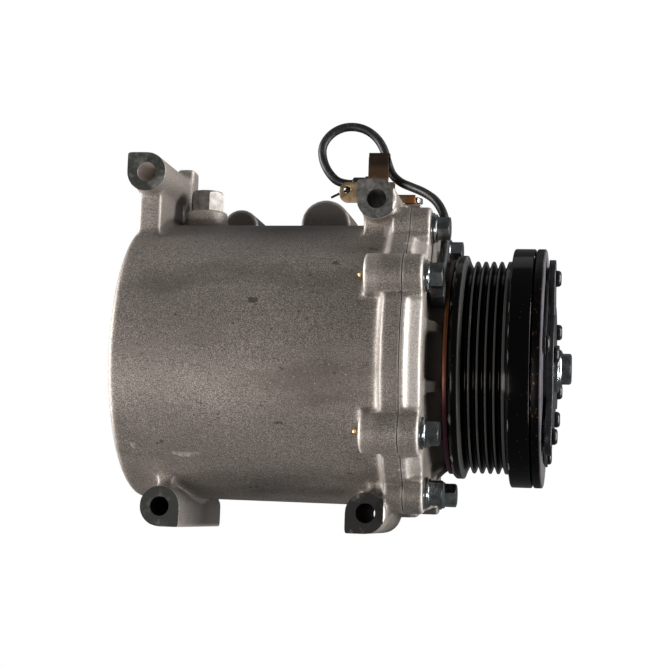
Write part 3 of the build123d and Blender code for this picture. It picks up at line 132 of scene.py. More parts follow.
# shader maths: a wrapped socket can be added, multiplied and so on
class Socket:
    def __init__(self, nodeTree, socket):
        self.nodeTree = nodeTree
        self.socket = socket

    def math(self, operation, *values):
        return self.nodeTree.node("ShaderNodeMath", {"operation": operation}, dict(enumerate(values)))

    def __add__(self, other):
        return self.math("ADD", self, other)

    def __radd__(self, other):
        return self.math("ADD", other, self)

    def __sub__(self, other):
        return self.math("SUBTRACT", self, other)

    def __rsub__(self, other):
        return self.math("SUBTRACT", other, self)

    def __mul__(self, other):
        return self.math("MULTIPLY", self, other)

    def __rmul__(self, other):
        return self.math("MULTIPLY", other, self)

    def __truediv__(self, other):
        return self.math("DIVIDE", self, other)

    def __rtruediv__(self, other):
        return self.math("DIVIDE", other, self)

    def __pow__(self, other):
        return self.math("POWER", self, other)

    def __rpow__(self, other):
        return self.math("POWER", other, self)

    def __abs__(self):
        return self.math("ABSOLUTE", self)

    def clamp(self):
        return self.math("MAXIMUM", self.math("MINIMUM", self, 1.0), 0.0)

    def above(self, limit, softness):
        # mask that rises from 0 to 1 around a limit
        return ((self - limit) / softness + 0.5).clamp()

    def below(self, limit, softness):
        return 1 - self.above(limit, softness)


class NodeTree:
    def __init__(self, tree):
        self.tree = tree

    def node(self, kind, settings=None, values=None, output=0):
        made = self.tree.nodes.new(kind)
        for key, value in (settings or {}).items():
            setattr(made, key, value)
        for key, value in (values or {}).items():
            if isinstance(value, Socket):
                self.tree.links.new(value.socket, made.inputs[key])
            else:
                made.inputs[key].default_value = value
        return Socket(self, made.outputs[output]) if len(made.outputs) else None


class Paint(NodeTree):
    def __init__(self, name, **constants):
        self.material = bpy.data.materials.new(name)
        self.material.use_nodes = True
        super().__init__(self.material.node_tree)
        self.shader = self.tree.nodes["Principled BSDF"]
        for key, value in constants.items():
            self.shader.inputs[key.replace("_", " ")].default_value = value
        self.place = self.node("ShaderNodeTexCoord", output="Object")

    def vector(self, operation, *values, output="Vector"):
        values = dict(enumerate(values))
        return self.node("ShaderNodeVectorMath", {"operation": operation}, values, output)

    def mapped(self, stretch, shift):
        return self.node(
            "ShaderNodeMapping", None, {"Vector": self.place, "Scale": stretch, "Location": shift},
        )

    def noise(self, scale, detail=2.0, roughness=0.5, stretch=(1, 1, 1), shift=(0, 0, 0), place=None):
        return self.node("ShaderNodeTexNoise", None, {
            "Vector": place or self.mapped(stretch, shift), "Scale": scale, "Detail": detail,
            "Roughness": roughness,
        })

    def cells(self, scale):
        return self.node("ShaderNodeTexVoronoi", None, {"Vector": self.place, "Scale": scale}, "Distance")

    def axis(self, letter):
        return self.node("ShaderNodeSeparateXYZ", None, {0: self.place}, letter)

    def offAxis(self):
        # distance from the shaft's axis
        return self.vector("LENGTH", self.vector("MULTIPLY", self.place, (0, 1, 1)), output="Value")

    def mix(self, factor, low, high):
        low, high = (value if isinstance(value, Socket) else (*value, 1) for value in (low, high))
        return self.node("ShaderNodeMix", {"data_type": "RGBA"}, {0: factor, 6: low, 7: high}, 2)

    def bump(self, height, strength, distance=0.1 * mm, below=None):
        values = {"Height": height, "Strength": strength, "Distance": distance}
        if below is not None:
            values["Normal"] = below
        return self.node("ShaderNodeBump", None, values)

    def edges(self, start, softness):
        # convex edges, where the surface is worn and where a painted highlight goes
        return self.node("ShaderNodeNewGeometry", output="Pointiness").above(start, softness)

    def feed(self, **sockets):
        for key, value in sockets.items():
            self.tree.links.new(value.socket, self.shader.inputs[key.replace("_", " ")])
        return self.material


def setWorld(settings):
    # the eye sees a pale backdrop; the part is lit by a weaker fill of the same air
    world = bpy.data.worlds.new("studio")
    world.use_nodes = True
    sky = NodeTree(world.node_tree)
    sky.tree.nodes.clear()
    seen = sky.node("ShaderNodeBackground", None, {"Color": (*settings["backdrop"], 1)})
    fill = sky.node("ShaderNodeBackground", None, {
        "Color": (*settings["fill"], 1), "Strength": settings["fillStrength"],
    })
    toEye = sky.node("ShaderNodeLightPath", output="Is Camera Ray")
    either = sky.node("ShaderNodeMixShader", None, {0: toEye, 1: fill, 2: seen})
    sky.node("ShaderNodeOutputWorld", None, {"Surface": either})
    scene.world = world


setWorld(studio)
print("backdrop is set")

# finishes
castLook = {
    "sand": (0.285, 0.250, 0.226),
    "pale": (0.640, 0.590, 0.550),
    "dark": (0.085, 0.076, 0.068),
    "shade": (0.165, 0.147, 0.130),
    # bright: pale specks and rubbed marks, and the painted highlights on edges, scoops and coves
    "stain": (0.105, 0.088, 0.068),
    "bright": (0.860, 0.820, 0.780),
    # neck: painted shade for the neck, which sits in shadow
    "neck": (0.032, 0.027, 0.022),
    "lug": (0.560, 0.505, 0.465),
    # grime and painted shade on the ports
    "grimeAndShade": (0.060, 0.052, 0.047),
    "grain": 2300,
    "metallic": 0.45,
    # strength of the painted shade over the top of the body
    "crownShade": 0.7,
    # rubbed marks: middle and low end, half width and height in mm, strength
    "marks": [(-126.5, -44.2, 7.4, 1.1, 0.5), (-149.3, -41.0, 1.4, 1.3, 0.6)],
}


def castAluminium(look):
    paint = Paint("cast_aluminium", Metallic=look["metallic"], Roughness=0.6)
    bright, dark, grimeAndShade = look["bright"], look["dark"], look["grimeAndShade"]
    grain = paint.noise(look["grain"], 2.0, 0.7)
    coarse = paint.noise(620, 3.0, 0.6)
    patches = paint.noise(16, 4.0, 0.6)
    smears = paint.noise(30, 3.0, 0.6, stretch=(0.35, 1, 1), shift=(0.3, 0.1, 0))
    nicks = paint.noise(250, 3.0, 0.62, stretch=(0.6, 1, 1), shift=(0.7, 0.2, 0.4))
    specks = paint.cells(560)
    along, across, height = (paint.axis(letter) for letter in "XYZ")
    radius = paint.offAxis()
    # sand grain, flecks, nicks and pale specks
    colour = paint.mix(grain.above(0.56, 0.16) * 0.75, look["sand"], look["pale"])
    colour = paint.mix((1 - grain).above(0.57, 0.14) * 0.85, colour, dark)
    colour = paint.mix((1 - coarse).above(0.60, 0.2) * 0.3, colour, dark)
    colour = paint.mix(patches.above(0.5, 0.25) * 0.4, colour, look["shade"])
    colour = paint.mix(smears.above(0.60, 0.14) * 0.55, colour, look["stain"])
    colour = paint.mix((1 - nicks).above(0.685, 0.03) * 0.85, colour, dark)
    pale = (0.15 - specks).above(0.05, 0.03) * nicks.above(0.49, 0.1)
    colour = paint.mix(pale * 0.9, colour, bright)
    # the lugs are paler; the ports are darkened with grime and painted shade, and the crown and the lugs'
    # undersides with painted shade
    onLug = radius.above(66.2 * mm, 2 * mm) * along.below(-42 * mm, 3 * mm)
    lugTone = 0.25 + height.above(-30 * mm, 60 * mm) * 0.35
    colour = paint.mix(onLug * grain.above(0.45, 0.3) * lugTone, colour, look["lug"])
    # grime and painted shade on the port bosses
    onPort = across.above(15 * mm, 6 * mm) * height.above(55 * mm, 4 * mm)
    colour = paint.mix(onPort * 0.75, colour, grimeAndShade)
    # painted shade over the top of the body, weaker towards the front
    crownShadeMask = height.above(52 * mm, 26 * mm) * radius.below(65.5 * mm, 1.5 * mm)
    crownShadeMask = crownShadeMask * (1 - along.above(-60 * mm, 14 * mm) * 0.6)
    colour = paint.mix(crownShadeMask * look["crownShade"], colour, dark)
    # painted shade under the lugs, deepening towards the back
    underLugShade = radius.above(64.5 * mm, 2 * mm) * height.below(-50 * mm, 8 * mm)
    colour = paint.mix(underLugShade * across.above(-14 * mm, 36 * mm) * 0.93, colour, dark)
    # two rubbed marks above the low rear lug, and a painted highlight along the convex edges
    for middle, low, wide, tall, strength in look["marks"]:
        run = ((along - middle * mm) / (wide * mm)) ** 2.0
        off = run + ((height - low * mm - run * mm) / (tall * mm)) ** 2.0
        rubbed = (1.2 - off).above(0.5, 0.8) * across.below(0, 10 * mm) * coarse.above(0.46, 0.2)
        colour = paint.mix(rubbed * strength, colour, bright)
    # painted highlight along the convex edges
    colour = paint.mix(paint.edges(0.545, 0.06) * 0.7, colour, bright)
    # the scoops and coves in the flange rims get a painted highlight, and the neck gets painted shade
    scoop = along.above(-31.6 * mm, 0.4 * mm) * along.below(-24.3 * mm, 0.3 * mm)
    scoop = scoop * radius.below(67.35 * mm, 0.5 * mm) * radius.above(61 * mm, 0.5 * mm)
    scoop = scoop * (1 - along.above(-29.6 * mm, 0.6 * mm) * 0.35)
    cove = along.above(-44.6 * mm, 0.8 * mm) * along.below(-40.9 * mm, 0.5 * mm)
    cove = cove * radius.above(63.6 * mm, 0.5 * mm) * radius.below(67.4 * mm, 0.5 * mm)
    cove = cove * abs(height).above(15 * mm, 14 * mm)
    # painted highlight on the scoops and coves, which are also made less rough and less grainy
    paintedSheen = (scoop * 0.33 + cove * 0.26).clamp()
    colour = paint.mix(paintedSheen, colour, bright)
    # painted shade over the neck, which also loses its gloss
    neckShade = along.above(-23.2 * mm, 1.0 * mm)
    colour = paint.mix(neckShade * 0.93, colour, look["neck"])
    rough = 0.42 + grain * 0.2 + patches * 0.06 - paintedSheen * 0.12 + neckShade * 0.4
    metallic = look["metallic"] - neckShade * look["metallic"]
    deep = paint.bump(coarse, 0.2, 0.3 * mm)
    skin = paint.bump(grain, 0.4 - paintedSheen * 0.3, 0.12 * mm, deep)
    return paint.feed(Base_Color=colour, Roughness=rough, Metallic=metallic, Normal=skin)


machinedLook = {
    "dull": (0.095, 0.097, 0.091),
    "clean": (0.24, 0.235, 0.225),
    "worn": (0.40, 0.39, 0.37),
    "scratch": (0.42, 0.42, 0.42),
    "low": (0.016, 0.015, 0.014),
    "rear": (0.045, 0.050, 0.045),
    # bore: painted light inside the deep bore of the top front lug
    "bore": (0.92, 0.86, 0.81),
    "metallic": 0.7,
}


def machinedAluminium(look):
    # sawn and milled faces, dulled and greenish grey, with pale worn patches
    paint = Paint("machined_aluminium", Metallic=look["metallic"], Roughness=0.45)
    swirl = paint.noise(900, 2.0, 0.6, stretch=(0.4, 1, 0.4))
    blotches = paint.noise(520, 3.0, 0.7)
    worn = paint.noise(75, 3.0, 0.65, shift=(0.2, 0, 0.6))
    along, across, height = (paint.axis(letter) for letter in "XYZ")
    colour = paint.mix(blotches.above(0.5, 0.3), look["dull"], look["clean"])
    colour = paint.mix(worn.above(0.56, 0.12) * 0.6, colour, look["worn"])
    colour = paint.mix(swirl.above(0.62, 0.12) * 0.25, colour, look["scratch"])
    low = height.below(-56 * mm, 4 * mm)
    lowTone = 0.97 - worn.above(0.57, 0.1) * 0.35 - swirl.above(0.64, 0.1) * 0.3
    colour = paint.mix(low * lowTone, colour, look["low"])
    rear = along.below(-100 * mm, 10 * mm)
    colour = paint.mix(rear * (0.75 - worn.above(0.55, 0.1) * 0.6), colour, look["rear"])
    # painted light inside the bore of the top front lug, which gets little light of its own
    paintedBoreLight = height.above(73 * mm, 1 * mm) * across.above(-41.7 * mm, 0.4 * mm)
    colour = paint.mix(paintedBoreLight * 0.95, colour, look["bore"])
    rough = 0.4 + blotches * 0.2 + low * 0.15
    metallic = look["metallic"] - paintedBoreLight * 0.6 - low * 0.35
    skin = paint.bump(swirl, 0.2)
    return paint.feed(Base_Color=colour, Roughness=rough, Metallic=metallic, Normal=skin)


zincLook = {"low": (0.30, 0.325, 0.34), "high": (0.52, 0.545, 0.555), "dirt": (0.13, 0.125, 0.115)}


def zincPlate(look):
    paint = Paint("zinc_plate", Metallic=1.0, Roughness=0.2)
    cloud = paint.noise(240, 3.0, 0.6)
    dirt = paint.noise(95, 3.0, 0.7)
    colour = paint.mix(cloud.above(0.5, 0.35), look["low"], look["high"])
    colour = paint.mix(dirt.above(0.58, 0.14) * 0.6, colour, look["dirt"])
    return paint.feed(Base_Color=colour, Roughness=0.13 + cloud * 0.16, Normal=paint.bump(cloud, 0.08))


enamelLook = {
    "black": (0.0018, 0.0018, 0.0022),
    # edge: bare steel where the paint is thin, with a painted highlight
    "edge": (0.36, 0.355, 0.35),
    # crest: painted highlight along the rib crests
    "crest": (0.13, 0.128, 0.125),
    "dust": (0.30, 0.27, 0.23),
    "crestRadius": 47.25 * mm,
    "beltFrom": -10.2 * mm,
    "beltTo": 9.6 * mm,
}


def pulleyEnamel(look):
    # gloss black over steel; the paint is thin on the sharp edges, which also carry a painted highlight,
    # and dusty in places
    paint = Paint("pulley_enamel", Roughness=0.16, Specular_IOR_Level=0.2)
    # convex edges: worn paint and a painted highlight
    edges = paint.edges(0.575, 0.05)
    speck = (0.09 - paint.cells(420)).above(0.04, 0.02)
    orangePeel = paint.noise(420, 2.0, 0.5)
    colour = paint.mix(edges * 0.8, look["black"], look["edge"])
    # a painted highlight along the crests of the ribs and the edge beside them, across the belt's track
    along = paint.axis("X")
    belt = along.above(look["beltFrom"], 0.3 * mm) * along.below(look["beltTo"], 0.3 * mm)
    crestHighlight = belt * paint.offAxis().above(look["crestRadius"], 0.25 * mm)
    colour = paint.mix(crestHighlight * 0.75, colour, look["crest"])
    colour = paint.mix(speck * 0.6, colour, look["dust"])
    rough = 0.08 + orangePeel * 0.1 + edges * 0.2
    return paint.feed(Base_Color=colour, Roughness=rough, Normal=paint.bump(orangePeel, 0.05, 0.2 * mm))


armatureLook = {
    "black": (0.004, 0.004, 0.0045),
    "low": (0.14, 0.133, 0.152),
    "high": (0.30, 0.283, 0.312),
    "rust": (0.36, 0.15, 0.055),
    "faceX": 24.5 * mm,
    "rustFrom": 54.0 * mm,
}


def armatureSteel(look):
    # the rim is black; the front face is bare and turned, with rust specks near the rim
    paint = Paint("armature_steel", Metallic=0.8, Roughness=0.4)
    distance = paint.vector("LENGTH", paint.place, output="Value")
    front = paint.axis("X").above(look["faceX"], 0.2 * mm)
    clouds = paint.noise(110, 3.0, 0.6)
    rings = paint.noise(1400, 1.0, place=paint.node("ShaderNodeCombineXYZ", None, {"Y": distance}))
    turned = clouds * 0.5 + rings * 0.5
    rust = paint.noise(620, 3.0, 0.7).above(0.66, 0.06) * distance.above(look["rustFrom"], 3.0 * mm)
    face = paint.mix(turned.above(0.5, 0.3), look["low"], look["high"])
    colour = paint.mix(front, look["black"], face)
    colour = paint.mix(rust * 0.8, colour, look["rust"])
    return paint.feed(Base_Color=colour, Roughness=0.3 + turned * 0.2, Normal=paint.bump(turned, 0.1))


springLook = {"black": (0.012, 0.012, 0.013), "wear": (0.10, 0.095, 0.09)}


def blackSteel(look):
    paint = Paint("black_steel", Metallic=0.3, Roughness=0.3)
    wear = paint.noise(500, 3.0, 0.6)
    colour = paint.mix(wear.above(0.62, 0.15) * 0.4, look["black"], look["wear"])
    return paint.feed(Base_Color=colour, Roughness=0.25 + wear * 0.2, Normal=paint.bump(wear, 0.1))


hubLook = {"low": (0.035, 0.036, 0.04), "high": (0.095, 0.097, 0.104)}


def hubSteel(look):
    paint = Paint("hub_steel", Metallic=0.9, Roughness=0.4)
    mottle = paint.noise(800, 3.0, 0.6)
    cloud = paint.noise(70, 3.0, 0.6)
    tone = mottle.above(0.5, 0.4) * 0.5 + cloud.above(0.5, 0.4) * 0.4
    colour = paint.mix(tone, look["low"], look["high"])
    return paint.feed(Base_Color=colour, Roughness=0.32 + cloud * 0.2, Normal=paint.bump(mottle, 0.1))


coilLook = {
    "purple": (0.12, 0.040, 0.075),
    "orange": (0.26, 0.095, 0.032),
    "mottle": (0.08, 0.045, 0.035),
    "shade": (0.010, 0.008, 0.007),
    "shadeFrom": 25 * mm,
}


def coilPaint(look):
    # tarnished steel plate, orange-brown half way up, purple lower down and dark near the top
    paint = Paint("coil_steel", Metallic=0.75, Roughness=0.4)
    height = paint.axis("Z")
    mottle = paint.noise(180, 3.0, 0.6)
    colour = paint.mix(height.above(-12 * mm, 40 * mm), look["purple"], look["orange"])
    colour = paint.mix(mottle.above(0.55, 0.25) * 0.4, colour, look["mottle"])
    colour = paint.mix(height.above(look["shadeFrom"], 8 * mm) * 0.93, colour, look["shade"])
    return paint.feed(Base_Color=colour, Roughness=0.3 + mottle * 0.2, Normal=paint.bump(mottle, 0.12))


chromateLook = {
    "tan": (0.44, 0.32, 0.19),
    "bronze": (0.15, 0.088, 0.052),
    "lip": (0.035, 0.024, 0.018),
    "orange": (0.42, 0.15, 0.035),
    "mottle": (0.08, 0.04, 0.03),
    "streak": (0.36, 0.22, 0.10),
}


def bracketChromate(look):
    # yellow chromate: bronze on the upright tab, darkest along its top, and tan on the low strip
    paint = Paint("bracket_chromate", Metallic=0.7, Roughness=0.36)
    height = paint.axis("Z")
    right = paint.axis("X").above(-40 * mm, 3 * mm)
    mottle = paint.noise(320, 3.0, 0.6)
    streaks = paint.noise(200, 3.0, 0.6, stretch=(1, 1, 0.25), shift=(0.1, 0, 0.3))
    colour = paint.mix(height.above(84.5 * mm, 3 * mm), look["tan"], look["bronze"])
    colour = paint.mix(height.above(90.6 * mm, 3.0 * mm) * 0.85, colour, look["lip"])
    colour = paint.mix(right * 0.8, colour, look["orange"])
    colour = paint.mix(mottle.above(0.55, 0.2) * 0.5, colour, look["mottle"])
    colour = paint.mix(streaks.above(0.62, 0.1) * 0.4, colour, look["streak"])
    return paint.feed(Base_Color=colour, Roughness=0.28 + mottle * 0.25, Normal=paint.bump(mottle, 0.1))


jacketLook = {"black": (0.013, 0.013, 0.014), "dust": (0.09, 0.088, 0.09)}


def leadJacket(look):
    paint = Paint("lead_jacket", Roughness=0.4, Coat_Weight=0.1, Coat_Roughness=0.3)
    dust = paint.noise(900, 3.0, 0.6)
    scuff = paint.noise(150, 2.0, 0.6)
    dusty = dust.above(0.6, 0.1) * scuff.above(0.5, 0.2)
    colour = paint.mix(dusty, look["black"], look["dust"])
    return paint.feed(Base_Color=colour, Roughness=0.38 + scuff * 0.22, Normal=paint.bump(dust, 0.12))


# two tones, the pattern's scale, roughness, metallic and relief
plainLooks = {
    "ground_steel": ((0.42, 0.42, 0.43), (0.62, 0.62, 0.63), 500, 0.25, 1.0, 0.1),
    "bearing_steel": ((0.62, 0.62, 0.64), (0.78, 0.78, 0.8), 300, 0.12, 1.0, 0.02),
    "cast_iron": ((0.06, 0.058, 0.055), (0.16, 0.155, 0.15), 700, 0.6, 0.6, 0.4),
    "copper_wire": ((0.30, 0.09, 0.035), (0.55, 0.2, 0.08), 900, 0.3, 0.8, 0.1),
    "epoxy": ((0.02, 0.015, 0.012), (0.05, 0.035, 0.025), 300, 0.25, 0.0, 0.1),
    "black_rubber": ((0.012, 0.012, 0.013), (0.03, 0.03, 0.032), 800, 0.6, 0.0, 0.2),
    "black_plastic": ((0.012, 0.013, 0.015), (0.03, 0.031, 0.034), 900, 0.42, 0.0, 0.2),
    "cage_plastic": ((0.24, 0.19, 0.11), (0.32, 0.27, 0.17), 600, 0.45, 0.0, 0.1),
    "seal_plastic": ((0.6, 0.55, 0.45), (0.72, 0.68, 0.58), 600, 0.4, 0.0, 0.1),
    "gold_chromate": ((0.30, 0.21, 0.09), (0.52, 0.40, 0.20), 900, 0.35, 1.0, 0.1),
    "worn_zinc": ((0.16, 0.148, 0.138), (0.32, 0.305, 0.29), 300, 0.46, 0.75, 0.1),
}


def plainPaint(name, low, high, scale, roughness, metallic, relief):
    # two tones of one finish, for the pieces inside and for plain mouldings
    paint = Paint(name, Metallic=metallic, Roughness=roughness)
    mottle = paint.noise(scale, 3.0, 0.6)
    colour = paint.mix(mottle.above(0.5, 0.3), low, high)
    rough = roughness - 0.05 + mottle * 0.1
    return paint.feed(Base_Color=colour, Roughness=rough, Normal=paint.bump(mottle, relief))


finishes = {
    "cast_aluminium": castAluminium(castLook),
    "machined_aluminium": machinedAluminium(machinedLook),
    "zinc_steel": zincPlate(zincLook),
    "bracket_steel": bracketChromate(chromateLook),
    "pulley_steel": pulleyEnamel(enamelLook),
    "armature_steel": armatureSteel(armatureLook),
    "spring_steel": blackSteel(springLook),
    "hub_steel": hubSteel(hubLook),
    "coil_steel": coilPaint(coilLook),
    "lead_jacket": leadJacket(jacketLook),
}
for name, look in plainLooks.items():
    finishes[name] = plainPaint(name, *look)
print("finishes are made")


# shared modelling helpers
def showPiece(name, mesh, body, slot, replaced=(), sharp=35, finish=None):
    # a piece takes its slot's finish unless it is given its own
    piece = bpy.data.objects.new(name, mesh)
    scene.collection.objects.link(piece)
    mesh.materials.clear()
    for material in finish or [finishes[slot]]:
        mesh.materials.append(material)
    mesh.polygons.foreach_set("material_index", [0] * len(mesh.polygons))
    mesh.shade_smooth()
    mesh.set_sharp_from_angle(angle=radians(sharp))
    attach(piece, body)
    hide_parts(*replaced)


def toMesh(name, bm):
    mesh = bpy.data.meshes.new(name)
    bm.to_mesh(mesh)
    bm.free()
    return mesh


def withModifier(mesh, kind, **settings):
    # runs one modifier on a mesh and gives back the mesh that it makes
    holder = bpy.data.objects.new("holder", mesh)
    scene.collection.objects.link(holder)
    modifier = holder.modifiers.new(kind, kind)
    for key, value in settings.items():
        setattr(modifier, key, value)
    graph = bpy.context.evaluated_depsgraph_get()
    shaped = bpy.data.meshes.new_from_object(holder.evaluated_get(graph))
    bpy.data.objects.remove(holder)
    return shaped


def combined(mesh, tool, operation):
    # boolean of a mesh with a tool shape
    cutter = bpy.data.objects.new("cutter", toMesh("cutter", tool))
    scene.collection.objects.link(cutter)
    shaped = withModifier(mesh, "BOOLEAN", object=cutter, operation=operation, solver="MANIFOLD")
    bpy.data.objects.remove(cutter)
    return shaped


def inMetres(points):
    return [(x * mm, radius * mm) for x, radius in points]


def mergedCopy(node):
    bm = bmesh.new()
    bm.from_mesh(nodes[node].data)
    bmesh.ops.remove_doubles(bm, verts=bm.verts, dist=0.002 * mm)
    return bm


def spunShape(bm, points, steps, sweep=2 * pi, start=0.0):
    # closed (x, radius) outline turned about the shaft axis, all the way or as a sector
    turned = Matrix.Rotation(start, 3, "X")
    corners = [bm.verts.new(turned @ Vector((x, 0, radius))) for x, radius in points]
    rim = [bm.edges.new((a, b)) for a, b in zip(corners, corners[1:] + corners[:1])]
    whole = abs(sweep - 2 * pi) < 1e-6
    faces = [] if whole else [bm.faces.new(corners)]
    bmesh.ops.spin(
        bm, geom=corners + rim + faces, cent=(0, 0, 0), axis=(1, 0, 0), angle=sweep, steps=steps,
        use_merge=whole,
    )


def bevelSharp(bm, width, segments=2, angle=28):
    edges = [e for e in bm.edges if len(e.link_faces) == 2 and degrees(e.calc_face_angle(0)) > angle]
    bmesh.ops.bevel(
        bm, geom=edges, offset=width, offset_type="OFFSET", segments=segments, profile=0.5,
        affect="EDGES", clamp_overlap=True, material=-1,
    )


def closeUp(bm):
    bmesh.ops.remove_doubles(bm, verts=bm.verts, dist=0.0005 * mm)
    bmesh.ops.recalc_face_normals(bm, faces=bm.faces)


def turnedRing(points, steps, width, segments):
    bm = bmesh.new()
    spunShape(bm, points, steps)
    closeUp(bm)
    bevelSharp(bm, width, segments)
    return bm


def addRod(bm, start, direction, radius, length, steps=48):
    # closed round bar from a start point along a direction
    direction = Vector(direction).normalized()
    place = Matrix.Translation(Vector(start) + direction * length / 2)
    turned = Vector((0, 0, 1)).rotation_difference(direction).to_matrix().to_4x4()
    bmesh.ops.create_cone(
        bm, cap_ends=True, segments=steps, radius1=radius, radius2=radius, depth=length,
        matrix=place @ turned,
    )


def addSlots(bm, low, high, middle, width, first, sweep, steps):
    # six arc-shaped cutters in a ring around the shaft
    inner, outer = ((middle + side * width / 2) * mm for side in (-1, 1))
    outline = [(low, inner), (low, outer), (high, outer), (high, inner)]
    for k in range(6):
        start = radians(first + 60 * k - sweep / 2 - 90)
        spunShape(bm, outline, steps, radians(sweep), start)


def addBlock(bm, low, high):
    low, high = Vector(low), Vector(high)
    size = Matrix.Diagonal((*(high - low), 1))
    bmesh.ops.create_cube(bm, size=1, matrix=Matrix.Translation((low + high) / 2) @ size)


def turnOf(y, z):
    # turn about the shaft axis that carries the top of a ring to this place
    return atan2(-y, z)


def boltSpots(node):
    # middles of a node's separate solids, seen along the shaft
    bm = mergedCopy(node)
    spots = []
    left = set(bm.verts)
    while left:
        island, edge = set(), [left.pop()]
        while edge:
            vert = edge.pop()
            island.add(vert)
            for other in (e.other_vert(vert) for e in vert.link_edges):
                if other in left:
                    left.discard(other)
                    edge.append(other)
        low = [min(v.co[i] for v in island) for i in (1, 2)]
        high = [max(v.co[i] for v in island) for i in (1, 2)]
        spots.append(((low[0] + high[0]) / 2, (low[1] + high[1]) / 2))
    bm.free()
    return spots


def paintFaces(mesh, test, slotIndex):
    for face in mesh.polygons:
        if test(face.center, face.normal):
            face.material_index = slotIndex


# rear housing
rearHousing = {
    "voxel": 1.02 * mm,
    "soften": 5,
    "spare": 1.4 * mm,
    "lugFaceY": -42.0 * mm,
    "portFaceY": 55.0 * mm,
    "jointX": -32.3 * mm,
    "jointGap": 0.25 * mm,
    "boreWall": 56.2 * mm,
    "seatX": -112.3 * mm,
    "seatWall": 45.4 * mm,
    "seatBackX": -124.3 * mm,
    "chamberWall": 54.0 * mm,
    "chamberX": -151.9 * mm,
    "plugMargin": 0.6 * mm,
    "faceReach": 10.5 * mm,
    "faceCut": 5 * mm,
    "portCut": 7 * mm,
    "drillPoint": 12 * mm,
    "plugReach": {"top_rear_lug": 46.5 * mm},
    "portBlock": ((-130.4 * mm, 31.5 * mm), (-67.4 * mm, 90 * mm)),
    "flangeX": -40.0 * mm,
    "filletX": -44.0 * mm,
    "fillet": [
        (0, 60), (0, 62.9), (1.4, 63.5), (2.5, 64.6), (3.1, 66.0), (3.6, 67.7), (8, 67.7), (8, 60),
    ],
}


def boreFacts(mount):
    # way out, middle, radius and length of a lug's or port's bore
    dims = mount["dims"]
    return Vector(mount["axis"]), Vector(mount["pos_m"]), dims["r_mm"] * mm, dims["length_mm"] * mm


